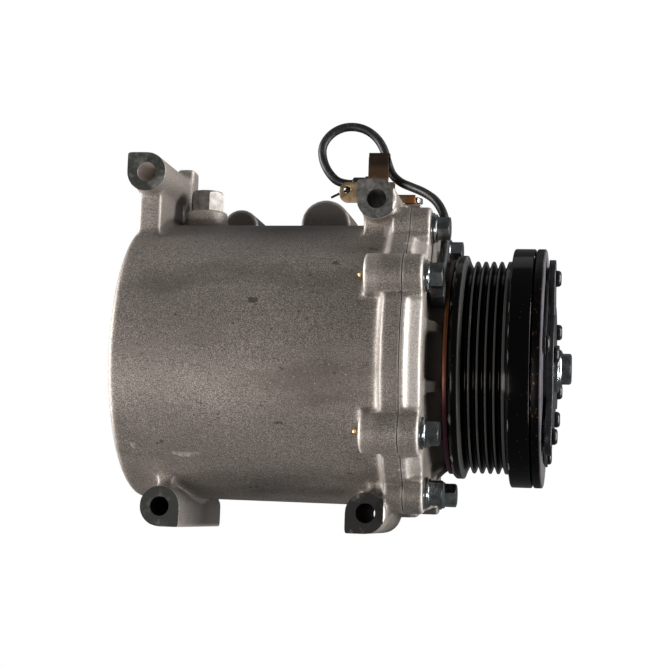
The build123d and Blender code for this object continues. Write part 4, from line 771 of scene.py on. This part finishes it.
def makeRearHousing(size):
    bm = mergedCopy("rear_housing")
    # the casting is left long where it is machined, then softened, then cut to size
    for vert in bm.verts:
        if abs(vert.co.y - size["lugFaceY"]) < 0.01 * mm and abs(vert.co.z) > 50 * mm:
            vert.co.y -= size["spare"]
        if abs(vert.co.y - size["portFaceY"]) < 0.01 * mm:
            vert.co.y += size["spare"]
        if abs(vert.co.x - size["jointX"]) < 0.01 * mm:
            vert.co.x += size["spare"]
    # the chamber and the bores are filled up, so that only the outside is softened
    left, right = size["chamberX"] - 0.4 * mm, size["jointX"] + size["spare"] * 1.2
    wall = size["boreWall"] + 0.4 * mm
    spunShape(bm, [(left, 0), (left, wall), (right, wall), (right, 0)], 64)
    bores = [mount for mount in mounts.values() if mount["kind"] in ("bore", "threaded_hole")]
    for mount in bores:
        out, middle, radius, length = boreFacts(mount)
        reach = size["plugReach"].get(mount["name"], length)
        start = middle + out * (length / 2 + size["spare"])
        addRod(bm, start, -out, radius + size["plugMargin"], reach + size["spare"])
    spunShape(bm, [(size["filletX"] + run * mm, rise * mm) for run, rise in size["fillet"]], 120)
    closeUp(bm)
    mesh = withModifier(toMesh("rear_casting", bm), "REMESH", mode="VOXEL", voxel_size=size["voxel"])
    mesh = withModifier(mesh, "SMOOTH", factor=0.5, iterations=size["soften"])
    # machined faces of the lugs and ports
    cuts = bmesh.new()
    reach = size["faceReach"]
    for mount in bores:
        if mount["name"].endswith("lug"):
            out, middle, radius, length = boreFacts(mount)
            face = middle + out * length / 2
            beyond = face.y + out.y * size["faceCut"]
            right = min(face.x + reach, size["flangeX"])
            low = (face.x - reach, min(face.y, beyond), face.z - reach)
            high = (right, max(face.y, beyond), face.z + reach)
            addBlock(cuts, low, high)
    (left, bottom), (right, top) = size["portBlock"]
    portY = size["portFaceY"]
    addBlock(cuts, (left, portY, bottom), (right, portY + size["portCut"], top))
    closeUp(cuts)
    mesh = combined(mesh, cuts, "DIFFERENCE")
    # the bore for the scrolls, and the face of the joint
    hollow = bmesh.new()
    seam = size["jointX"] - size["jointGap"]
    spunShape(hollow, [
        (size["chamberX"], 0), (size["chamberX"], size["chamberWall"]),
        (size["seatBackX"], size["chamberWall"]), (size["seatBackX"], size["seatWall"]),
        (size["seatX"], size["seatWall"]), (size["seatX"], size["boreWall"]),
        (seam, size["boreWall"]), (seam, 90 * mm),
        (size["jointX"] + 6 * mm, 90 * mm), (size["jointX"] + 6 * mm, 0),
    ], 160)
    closeUp(hollow)
    mesh = combined(mesh, hollow, "DIFFERENCE")
    holes = bmesh.new()
    for mount in bores:
        out, middle, radius, length = boreFacts(mount)
        blind = 0 if mount["name"].endswith(("port", "hole")) else size["drillPoint"]
        addRod(holes, middle + out * (length / 2 + 4 * mm), -out, radius, length + 4 * mm + blind)
    closeUp(holes)
    mesh = combined(mesh, holes, "DIFFERENCE")

    def machined(centre, normal):
        onLugFace = abs(centre.y - size["lugFaceY"]) < 0.03 * mm
        onPortFace = abs(centre.y - size["portFaceY"]) < 0.03 * mm
        if onLugFace or onPortFace:
            return abs(normal.y) > 0.99
        if centre.x > size["jointX"] - 0.2 * mm and abs(normal.x) > 0.99:
            return True
        for mount in bores:
            out, middle, radius, length = boreFacts(mount)
            away = centre - middle
            along = away.dot(out)
            if abs((away - out * along).length - radius) < 0.05 * mm:
                if abs(along) < length / 2 + size["drillPoint"] + mm:
                    return abs(normal.dot(out)) < 0.2
        return centre.yz.length < size["boreWall"] + 0.02 * mm and centre.x > size["chamberX"] - mm

    finish = [finishes["cast_aluminium"], finishes["machined_aluminium"]]
    showPiece("rear_housing_casting", mesh, "housing", "cast_aluminium", ["rear_housing"], 40, finish)
    paintFaces(mesh, machined, 1)


makeRearHousing(rearHousing)
print("rear housing is cast and machined")


# front housing
frontHousing = {
    "voxel": 0.84 * mm,
    "soften": 4,
    "jointX": -32.3 * mm,
    "jointGap": 0.25 * mm,
    "spare": 1.2 * mm,
    "faceX": -23.8 * mm,
    "spigot": 56.1 * mm,
    "rim": 68.0 * mm,
    "scoopRound": 1.6 * mm,
    "scoopBackX": -31.2 * mm,
    "scoopFloorX": -28.9 * mm,
    "scoopFloor": 65.7 * mm,
    "scoopFront": 62.8 * mm,
    "bossHalf": 9.6,
    "spotFace": 7.4 * mm,
    "sealBore": 20 * mm,
}


def makeFrontHousing(size):
    spots = boltSpots("long_joint_bolts") + boltSpots("short_joint_bolts")
    angles = sorted(degrees(turnOf(y, z)) % 360 for y, z in spots)
    bm = mergedCopy("front_housing")
    for vert in bm.verts:
        onJoint = abs(vert.co.x - size["jointX"]) < 0.01 * mm
        if onJoint and vert.co.yz.length > size["spigot"] - 0.05 * mm:
            vert.co.x -= size["spare"]
    closeUp(bm)
    mesh = toMesh("front_casting", bm)
    # scoops in the rim between the bolt bosses
    scoops = bmesh.new()
    beyond = size["faceX"] + 2 * mm
    for first, second in zip(angles, angles[1:] + [angles[0] + 360]):
        span = radians(second - first - 2 * size["bossHalf"])
        spunShape(scoops, [
            (size["scoopBackX"], size["rim"] + 0.3 * mm), (size["scoopFloorX"], size["scoopFloor"]),
            (beyond, size["scoopFront"]), (beyond, 74 * mm), (size["scoopBackX"], 74 * mm),
        ], 24, span, radians(first + size["bossHalf"]))
    closeUp(scoops)
    bevelSharp(scoops, size["scoopRound"], 4, 60)
    mesh = combined(mesh, scoops, "DIFFERENCE")
    mesh = withModifier(mesh, "REMESH", mode="VOXEL", voxel_size=size["voxel"])
    mesh = withModifier(mesh, "SMOOTH", factor=0.5, iterations=size["soften"])
    # the face of the joint
    trim = bmesh.new()
    behind, seam = size["jointX"] - 4 * mm, size["jointX"] + size["jointGap"] / 2
    wall = size["spigot"] + 0.05 * mm
    spunShape(trim, [(behind, wall), (behind, 90 * mm), (seam, 90 * mm), (seam, wall)], 160)
    closeUp(trim)
    mesh = combined(mesh, trim, "DIFFERENCE")

    def machined(centre, normal):
        if abs(centre.x - size["faceX"]) < 0.25 * mm and normal.x > 0.97:
            return any((centre.yz - Vector(spot)).length < size["spotFace"] for spot in spots)
        onJoint = centre.x < size["jointX"] + 0.2 * mm and abs(normal.x) > 0.99
        return onJoint or centre.yz.length < size["sealBore"]

    finish = [finishes["cast_aluminium"], finishes["machined_aluminium"]]
    showPiece("front_housing_casting", mesh, "housing", "cast_aluminium", ["front_housing"], 40, finish)
    paintFaces(mesh, machined, 1)


makeFrontHousing(frontHousing)
print("front housing is cast and machined")

# joint bolts and their washers
jointBolts = {
    "washer": [(-23.8, 3.1), (-23.8, 6.8), (-22.6, 6.8), (-22.6, 3.1)],
    "flange": [(-22.6, 0), (-22.6, 6.05), (-22.2, 6.2), (-21.5, 6.2), (-20.9, 5.3), (-20.9, 0)],
    "low": -22.3 * mm,
    "high": -15.6 * mm,
    "flats": 10.0 * mm,
    "chamfer": 0.75 * mm,
    "shank": 1.9 * mm,
    "threadTip": 1.7 * mm,
    "threadRoot": 1.4 * mm,
    "pitch": 1.0 * mm,
    "tipLength": 5.0 * mm,
    "tipX": {"long_joint_bolts": -51.9 * mm, "short_joint_bolts": -39.4 * mm},
    "rounding": 0.15 * mm,
}


def atSpot(spot):
    return Matrix.Translation((0, spot[0], spot[1]))


def headTurn(node, spot, reach):
    # angle of the hexagon's corners, read from the CAD head
    bm = mergedCopy(node)
    near = [v.co.yz - Vector(spot) for v in bm.verts if (v.co.yz - Vector(spot)).length < reach]
    corner = max(near, key=lambda away: away.length)
    bm.free()
    return atan2(corner.y, corner.x)


def hexBlank(bm, low, high, flats, turn, matrix):
    radius = flats / sqrt(3)
    rings = []
    corners = [turn + k * pi / 3 for k in range(6)]
    for x in (low, high):
        rings.append([
            bm.verts.new(matrix @ Vector((x, radius * cos(corner), radius * sin(corner))))
            for corner in corners
        ])
    bm.faces.new(rings[0])
    bm.faces.new(rings[1])
    for k in range(6):
        bm.faces.new((rings[0][k], rings[0][k - 1], rings[1][k - 1], rings[1][k]))


def placedSpin(bm, points, steps, matrix):
    fresh = bmesh.new()
    spunShape(fresh, points, steps)
    closeUp(fresh)
    mesh = toMesh("spun", fresh)
    mesh.transform(matrix)
    bm.from_mesh(mesh)
    bpy.data.meshes.remove(mesh)


def hexHeads(places, size):
    # hexagons cut by a turned dome, as a forged head is
    low, high, flats, chamfer = (size[key] for key in ("low", "high", "flats", "chamfer"))
    prisms, domes = bmesh.new(), bmesh.new()
    corner = flats / sqrt(3)
    flat = flats / 2
    profile = [
        (low - mm, 0), (low - mm, corner * 1.1), (high - chamfer, corner * 1.02),
        (high - chamfer * 0.45, flat * 1.03), (high - chamfer * 0.12, flat * 0.95),
        (high, flat * 0.86), (high, 0),
    ]
    for matrix, turn in places:
        hexBlank(prisms, low, high, flats, turn, matrix)
        placedSpin(domes, profile, 60, matrix)
    closeUp(prisms)
    return combined(toMesh("heads", prisms), domes, "INTERSECT")


def makeJointBolts(size, node):
    spots = boltSpots(node)
    heads = hexHeads([(atSpot(spot), headTurn(node, spot, 8 * mm)) for spot in spots], size)
    tipX = size["tipX"][node]
    x = tipX + size["tipLength"]
    tip = [(size["low"] - mm, 0), (size["low"] - mm, size["shank"]), (x, size["shank"])]
    while x > tipX + 1.2 * mm:
        tip += [(x, size["threadRoot"]), (x - size["pitch"] / 2, size["threadTip"])]
        x -= size["pitch"]
    tip += [(tipX + 0.7 * mm, size["threadRoot"]), (tipX, size["threadRoot"] - 0.5 * mm), (tipX, 0)]
    bm = bmesh.new()
    bm.from_mesh(heads)
    for spot in spots:
        placedSpin(bm, inMetres(size["flange"]), 60, atSpot(spot))
        placedSpin(bm, tip, 32, atSpot(spot))
    mesh = toMesh(node + "_fitted", bm)
    finish = [finishes["zinc_steel"], finishes["gold_chromate"]]
    showPiece(node + "_fitted", mesh, "housing", "zinc_steel", [node], 40, finish)
    tipEnd = tipX + size["tipLength"] + 0.01 * mm
    paintFaces(mesh, lambda centre, normal: centre.x < tipEnd, 1)


def makeWashers(size):
    bm = bmesh.new()
    for spot in boltSpots("joint_bolt_washers"):
        placedSpin(bm, inMetres(size["washer"]), 60, atSpot(spot))
    bevelSharp(bm, size["rounding"])
    mesh = toMesh("washers", bm)
    showPiece("joint_bolt_washers_fitted", mesh, "housing", "zinc_steel", ["joint_bolt_washers"])


for node in jointBolts["tipX"]:
    makeJointBolts(jointBolts, node)
makeWashers(jointBolts)
print("joint bolts are fitted")

# relief valve on the rear housing
reliefValve = {
    "centre": (-131.7 * mm, -3.5 * mm),
    "low": 69.2 * mm,
    "high": 78.6 * mm,
    "flats": 14.0 * mm,
    "turn": 20,
    "chamfer": 1.5 * mm,
    "vent": 2.29 * mm,
    "ventDepth": 4 * mm,
    "stem": 5.9 * mm,
    "stemLow": 58.2 * mm,
}


def makeReliefValve(size):
    upright = Matrix.Translation((*size["centre"], 0)) @ Matrix.Rotation(-pi / 2, 4, "Y")
    mesh = hexHeads([(upright, radians(size["turn"]))], size)
    vent = bmesh.new()
    top = (*size["centre"], size["high"] + mm)
    addRod(vent, top, (0, 0, -1), size["vent"], size["ventDepth"] + mm, 32)
    mesh = combined(mesh, vent, "DIFFERENCE")
    bm = bmesh.new()
    bm.from_mesh(mesh)
    bottom = (*size["centre"], size["stemLow"])
    addRod(bm, bottom, (0, 0, 1), size["stem"], size["low"] - size["stemLow"] + 0.2 * mm)
    mesh, finish = toMesh("relief_valve", bm), [finishes["worn_zinc"]]
    showPiece("relief_valve_fitted", mesh, "housing", "zinc_steel", ["relief_valve"], 40, finish)


makeReliefValve(reliefValve)
print("relief valve is fitted")

# pulley
pulleyWheel = {
    "rim": [(-14, 42.2), (-14, 48.8), (-12.8, 50), (-9.78, 50)],
    "ribs": [-7.12, -3.56, 0, 3.56, 7.12],
    "floorHalf": 0.35,
    "floorRadius": 44.6,
    "topHalf": 1.4055,
    "tipRadius": 47.5,
    "firstEdge": 0.9,
    "nose": [
        (10.3, 47.5), (11.1, 52.7), (11.6, 53.2), (20.0, 53.2), (20.5, 52.7), (20.5, 25.4), (11.1, 25.4),
        (11.1, 27.5), (-9.0, 27.5), (-9.0, 28.7), (-10.35, 28.7), (-10.35, 27.5), (-11.5, 27.5),
        (-11.5, 31.2), (11.9, 31.2), (11.9, 42.2),
    ],
    "steps": 180,
    "rounding": 0.28 * mm,
    "slotRadii": [(35, 0), (46, 30)],
    "slotWidth": 3.0,
    "slotSweep": 44,
    "slotX": (11.0, 21.0),
}


def makePulley(size):
    points = list(size["rim"])
    crest, root = size["tipRadius"], size["floorRadius"]
    for middle in size["ribs"]:
        points += [
            (middle - size["topHalf"], crest), (middle - size["floorHalf"], root),
            (middle + size["floorHalf"], root), (middle + size["topHalf"], crest),
        ]
    points[len(size["rim"])] = (size["rim"][-1][0] + size["firstEdge"], crest)
    points += size["nose"]
    bm = turnedRing(inMetres(points), size["steps"], size["rounding"], 3)
    slots = bmesh.new()
    low, high = (x * mm for x in size["slotX"])
    for middle, first in size["slotRadii"]:
        addSlots(slots, low, high, middle, size["slotWidth"], first, size["slotSweep"], 24)
    closeUp(slots)
    mesh = combined(toMesh("pulley", bm), slots, "DIFFERENCE")
    showPiece("pulley_turned", mesh, "pulley_wheel", "pulley_steel", ["pulley"])


makePulley(pulleyWheel)
print("pulley is turned")

# clutch: coil plate, armature, hub plate, springs and rivets
clutch = {
    "coilPlate": [(-16.3, 20.1), (-16.3, 48), (-14.5, 48), (-14.5, 20.1)],
    "armature": [(21, 28.5), (21, 53.2), (25.2, 53.2), (25.2, 28.5)],
    "armatureSlots": {"radius": 41, "first": 140, "width": 3.0, "sweep": 30},
    "armatureHoles": [(4.6, (110, 230, 350)), (2.45, (170, 290, 50))],
    "holeCircle": 41,
    "cutFrom": 20,
    "cutTo": 26,
    "coilPlateRounding": 0.2 * mm,
    "rounding": 0.85 * mm,
    "hubRounding": 0.35 * mm,
    "springRounding": 0.15 * mm,
}
rivets = {
    "neck": 2.4,
    "head": 3.6,
    "rows": {
        "lobe_rivets": {"body": "shaft", "low": 24.2, "headLow": 29.5, "high": 31.9},
        "hub_rivets": {"body": "shaft", "low": 24.2, "headLow": 29.5, "high": 31.9},
        "armature_rivets": {"body": "armature", "low": 21.4, "headLow": 26.6, "high": 28.4},
    },
}


def ringPlate(name, points, width):
    return toMesh(name, turnedRing(inMetres(points), 180, width, 2))


def makeClutch(size):
    coilPlate = ringPlate("coil_plate", size["coilPlate"], size["coilPlateRounding"])
    showPiece("coil_plate_turned", coilPlate, "housing", "coil_steel", ["coil_mounting_plate"])
    cuts = bmesh.new()
    spec = size["armatureSlots"]
    low, high = size["cutFrom"] * mm, size["cutTo"] * mm
    addSlots(cuts, low, high, spec["radius"], spec["width"], spec["first"], spec["sweep"], 16)
    for radius, angles in size["armatureHoles"]:
        for angle in angles:
            y, z = (size["holeCircle"] * mm * turn(radians(angle)) for turn in (cos, sin))
            addRod(cuts, (low, y, z), (1, 0, 0), radius * mm, high - low, 40)
    closeUp(cuts)
    armature = combined(ringPlate("armature", size["armature"], size["rounding"]), cuts, "DIFFERENCE")
    showPiece("armature_plate_turned", armature, "armature", "armature_steel", ["armature_plate"])


def roundedOver(name, bm, width):
    # flat faces are joined up and edges rounded over
    bmesh.ops.dissolve_limit(bm, angle_limit=radians(1), verts=bm.verts, edges=bm.edges)
    return withModifier(
        toMesh(name, bm), "BEVEL", width=width, segments=2, limit_method="ANGLE", angle_limit=radians(38),
    )


def softCopy(node, body, slot, width, name):
    mesh = roundedOver(name, mergedCopy(node), width)
    showPiece(name, mesh, body, slot, [node], 38)


def makeRivets(size, node):
    bm = bmesh.new()
    head, neck, row = size["head"], size["neck"], size["rows"][node]
    low, high, headLow = row["low"], row["high"], row["headLow"]
    rise = high - headLow
    outline = [(low, 0), (low, neck - 0.2), (low + 0.2, neck), (headLow, neck), (headLow, head - 0.15)]
    outline.append((headLow + rise * 0.12, head))
    for step in range(1, 8):
        turn = step * pi / 14
        outline.append((headLow + rise * (0.3 + 0.7 * sin(turn)), 0.6 * head + 0.4 * head * cos(turn)))
    outline.append((high, 0))
    for spot in boltSpots(node):
        placedSpin(bm, inMetres(outline), 48, atSpot(spot))
    name = node + "_headed"
    showPiece(name, toMesh(name, bm), row["body"], "spring_steel", [node], 45)


makeClutch(clutch)
for node in rivets["rows"]:
    makeRivets(rivets, node)
softCopy("hub_plate", "shaft", "hub_steel", clutch["hubRounding"], "hub_plate_pressed")
softCopy("leaf_springs", "shaft", "spring_steel", clutch["springRounding"], "leaf_springs_blanked")
print("clutch is built")

# centre bolt and washer
centreBolt = {
    "low": 31.1 * mm,
    "high": 36.8 * mm,
    "flats": 13.0 * mm,
    "turn": 12,
    "chamfer": 1.0 * mm,
    "flange": [(31.2, 0), (31.2, 8.4), (31.6, 8.6), (32.2, 8.3), (32.8, 7.2), (32.8, 0)],
    "shank": 3.8 * mm,
    "washerRounding": 0.25 * mm,
}


def makeCentreBolt(size):
    bm = bmesh.new()
    bm.from_mesh(hexHeads([(Matrix(), radians(size["turn"]))], size))
    placedSpin(bm, inMetres(size["flange"]), 60, Matrix())
    end = min(vert.co.x for vert in nodes["centre_bolt"].data.vertices)
    addRod(bm, (end, 0, 0), (1, 0, 0), size["shank"], size["low"] - end + 0.5 * mm, 40)
    mesh = toMesh("centre_bolt", bm)
    showPiece("centre_bolt_headed", mesh, "shaft", "zinc_steel", ["centre_bolt"], 40)


makeCentreBolt(centreBolt)
softCopy("centre_washer", "shaft", "zinc_steel", centreBolt["washerRounding"], "centre_washer_turned")
print("centre bolt is fitted")

# lead bracket and the small pieces on it
leadBracket = {
    "tabTop": 98.5 * mm,
    "lowerBy": 3.7 * mm,
    "curlRadius": 1.5 * mm,
    "rounding": 0.3 * mm,
}
moulded = {
    "bracket_screw": {"slot": "zinc_steel", "rounding": 0.3 * mm, "name": "bracket_screw_headed"},
    "lead_connector": {"slot": "black_plastic", "rounding": 0.5 * mm, "name": "lead_connector_moulded"},
    "coil_lead_grommet": {
        "slot": "black_plastic", "rounding": 0.6 * mm, "name": "coil_lead_grommet_moulded",
    },
}
wireTail = {
    "points": [(-66.0, -2.2, 80.0), (-68.6, -2.0, 79.4), (-70.6, -2.4, 78.2), (-73.4, -3.2, 76.6)],
    "radius": 0.55 * mm,
    "knot": 1.5 * mm,
}


def makeLeadBracket(size):
    bm = mergedCopy("lead_bracket")
    top = [vert for vert in bm.verts if vert.co.z > size["tabTop"] - 0.1 * mm]
    for vert in top:
        vert.co.z -= size["lowerBy"]
    left, right = min(vert.co.x for vert in top), max(vert.co.x for vert in top)
    front = min(vert.co.y for vert in top)
    height = size["tabTop"] - size["lowerBy"]
    mesh = roundedOver("bracket", bm, size["rounding"])
    # the rolled lip, a bead along the tab's top
    bm = bmesh.new()
    bm.from_mesh(mesh)
    lip = bmesh.new()
    middle = (left, front + size["curlRadius"], height - size["curlRadius"] * 0.2)
    addRod(lip, middle, (1, 0, 0), size["curlRadius"], right - left, 32)
    bevelSharp(lip, size["rounding"])
    rolled = toMesh("lip", lip)
    bm.from_mesh(rolled)
    bpy.data.meshes.remove(rolled)
    mesh = toMesh("lead_bracket", bm)
    showPiece("lead_bracket_pressed", mesh, "housing", "bracket_steel", ["lead_bracket"], 38)


def makeWireTail(size):
    # a knotted end of wire in the strip's hole, with its tail beside the strip
    bm = bmesh.new()
    spots = [Vector(point) * mm for point in size["points"]]
    knot = Matrix.Translation(spots[0])
    bmesh.ops.create_icosphere(bm, subdivisions=3, radius=size["knot"], matrix=knot)
    for start, end in zip(spots, spots[1:]):
        addRod(bm, start, end - start, size["radius"], (end - start).length, 20)
        bend = Matrix.Translation(end)
        bmesh.ops.create_icosphere(bm, subdivisions=2, radius=size["radius"], matrix=bend)
    showPiece("wire_tail", toMesh("wire_tail", bm), "housing", "black_plastic")


makeLeadBracket(leadBracket)
makeWireTail(wireTail)
for node, size in moulded.items():
    softCopy(node, "housing", size["slot"], size["rounding"], size["name"])
print("bracket is pressed")

# coil lead
coilLead = {
    "route": [
        (-64.5, 0.7, 83.5), (-70.5, 0.7, 83.5), (-76.0, 2.6, 88.6), (-79.6, 4.7, 95.2),
        (-80.6, 6.3, 102.2), (-77.4, 7.6, 108.2), (-71.8, 8.3, 111.8), (-65.6, 8.6, 112.4),
        (-59.8, 8.2, 110.6), (-54.8, 7.2, 106.6), (-51.2, 5.6, 101.0), (-49.2, 3.9, 94.4),
        (-46.8, 2.2, 88.2), (-42.2, 0.2, 84.0), (-36.4, -3.6, 81.2), (-30.0, -8.6, 77.8),
        (-24.0, -13.8, 73.0), (-19.9, -18.5, 65.6), (-18.5, -23.1, 57.6), (-18.4, -27.9, 50.0),
        (-18.6, -32.8, 43.2), (-19.2, -37.2, 37.2), (-19.2, -40.7, 31.8),
    ],
    "radius": 2.0 * mm,
    "length": 0.163,
}


def makeLead(size):
    curve = bpy.data.curves.new("coil_lead_laid", "CURVE")
    curve.dimensions = "3D"
    curve.bevel_depth = size["radius"]
    curve.bevel_resolution = 6
    curve.resolution_u = 8
    curve.use_fill_caps = True
    spline = curve.splines.new("NURBS")
    spline.points.add(len(size["route"]) - 1)
    for point, place in zip(spline.points, size["route"]):
        point.co = (*(value * mm for value in place), 1)
    spline.order_u = 3
    spline.use_endpoint_u = True
    lead = bpy.data.objects.new("coil_lead_laid", curve)
    scene.collection.objects.link(lead)
    curve.materials.append(finishes["lead_jacket"])
    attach(lead, "housing")
    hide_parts("coil_lead")


makeLead(coilLead)
print("lead is laid")

# CAD pieces that still show take the finish of their slot
for entry in frame["record"]["subparts"]:
    part = nodes[entry["node"]]
    part.data.materials.clear()
    part.data.materials.append(finishes[entry["material_slot"]])
print("CAD pieces are finished")


def makeFloor(settings):
    # as pale as the backdrop, and it neither shades the part nor lights it
    bm = bmesh.new()
    low = Matrix.Translation((0, 0, cadBox[0][2] - settings["floorGap"]))
    bmesh.ops.create_grid(bm, x_segments=1, y_segments=1, size=settings["floorSize"] / 2, matrix=low)
    floor = bpy.data.objects.new("floor", toMesh("floor", bm))
    scene.collection.objects.link(floor)
    for kind in ("diffuse", "glossy", "shadow", "transmission"):
        setattr(floor, "visible_" + kind, False)
    paint = Paint("pale_floor", Base_Color=(0, 0, 0, 1), Emission_Color=(*settings["backdrop"], 1),
                  Emission_Strength=1.0, Specular_IOR_Level=0.0)
    floor.data.materials.append(paint.material)


makeFloor(studio)
print("floor is laid")
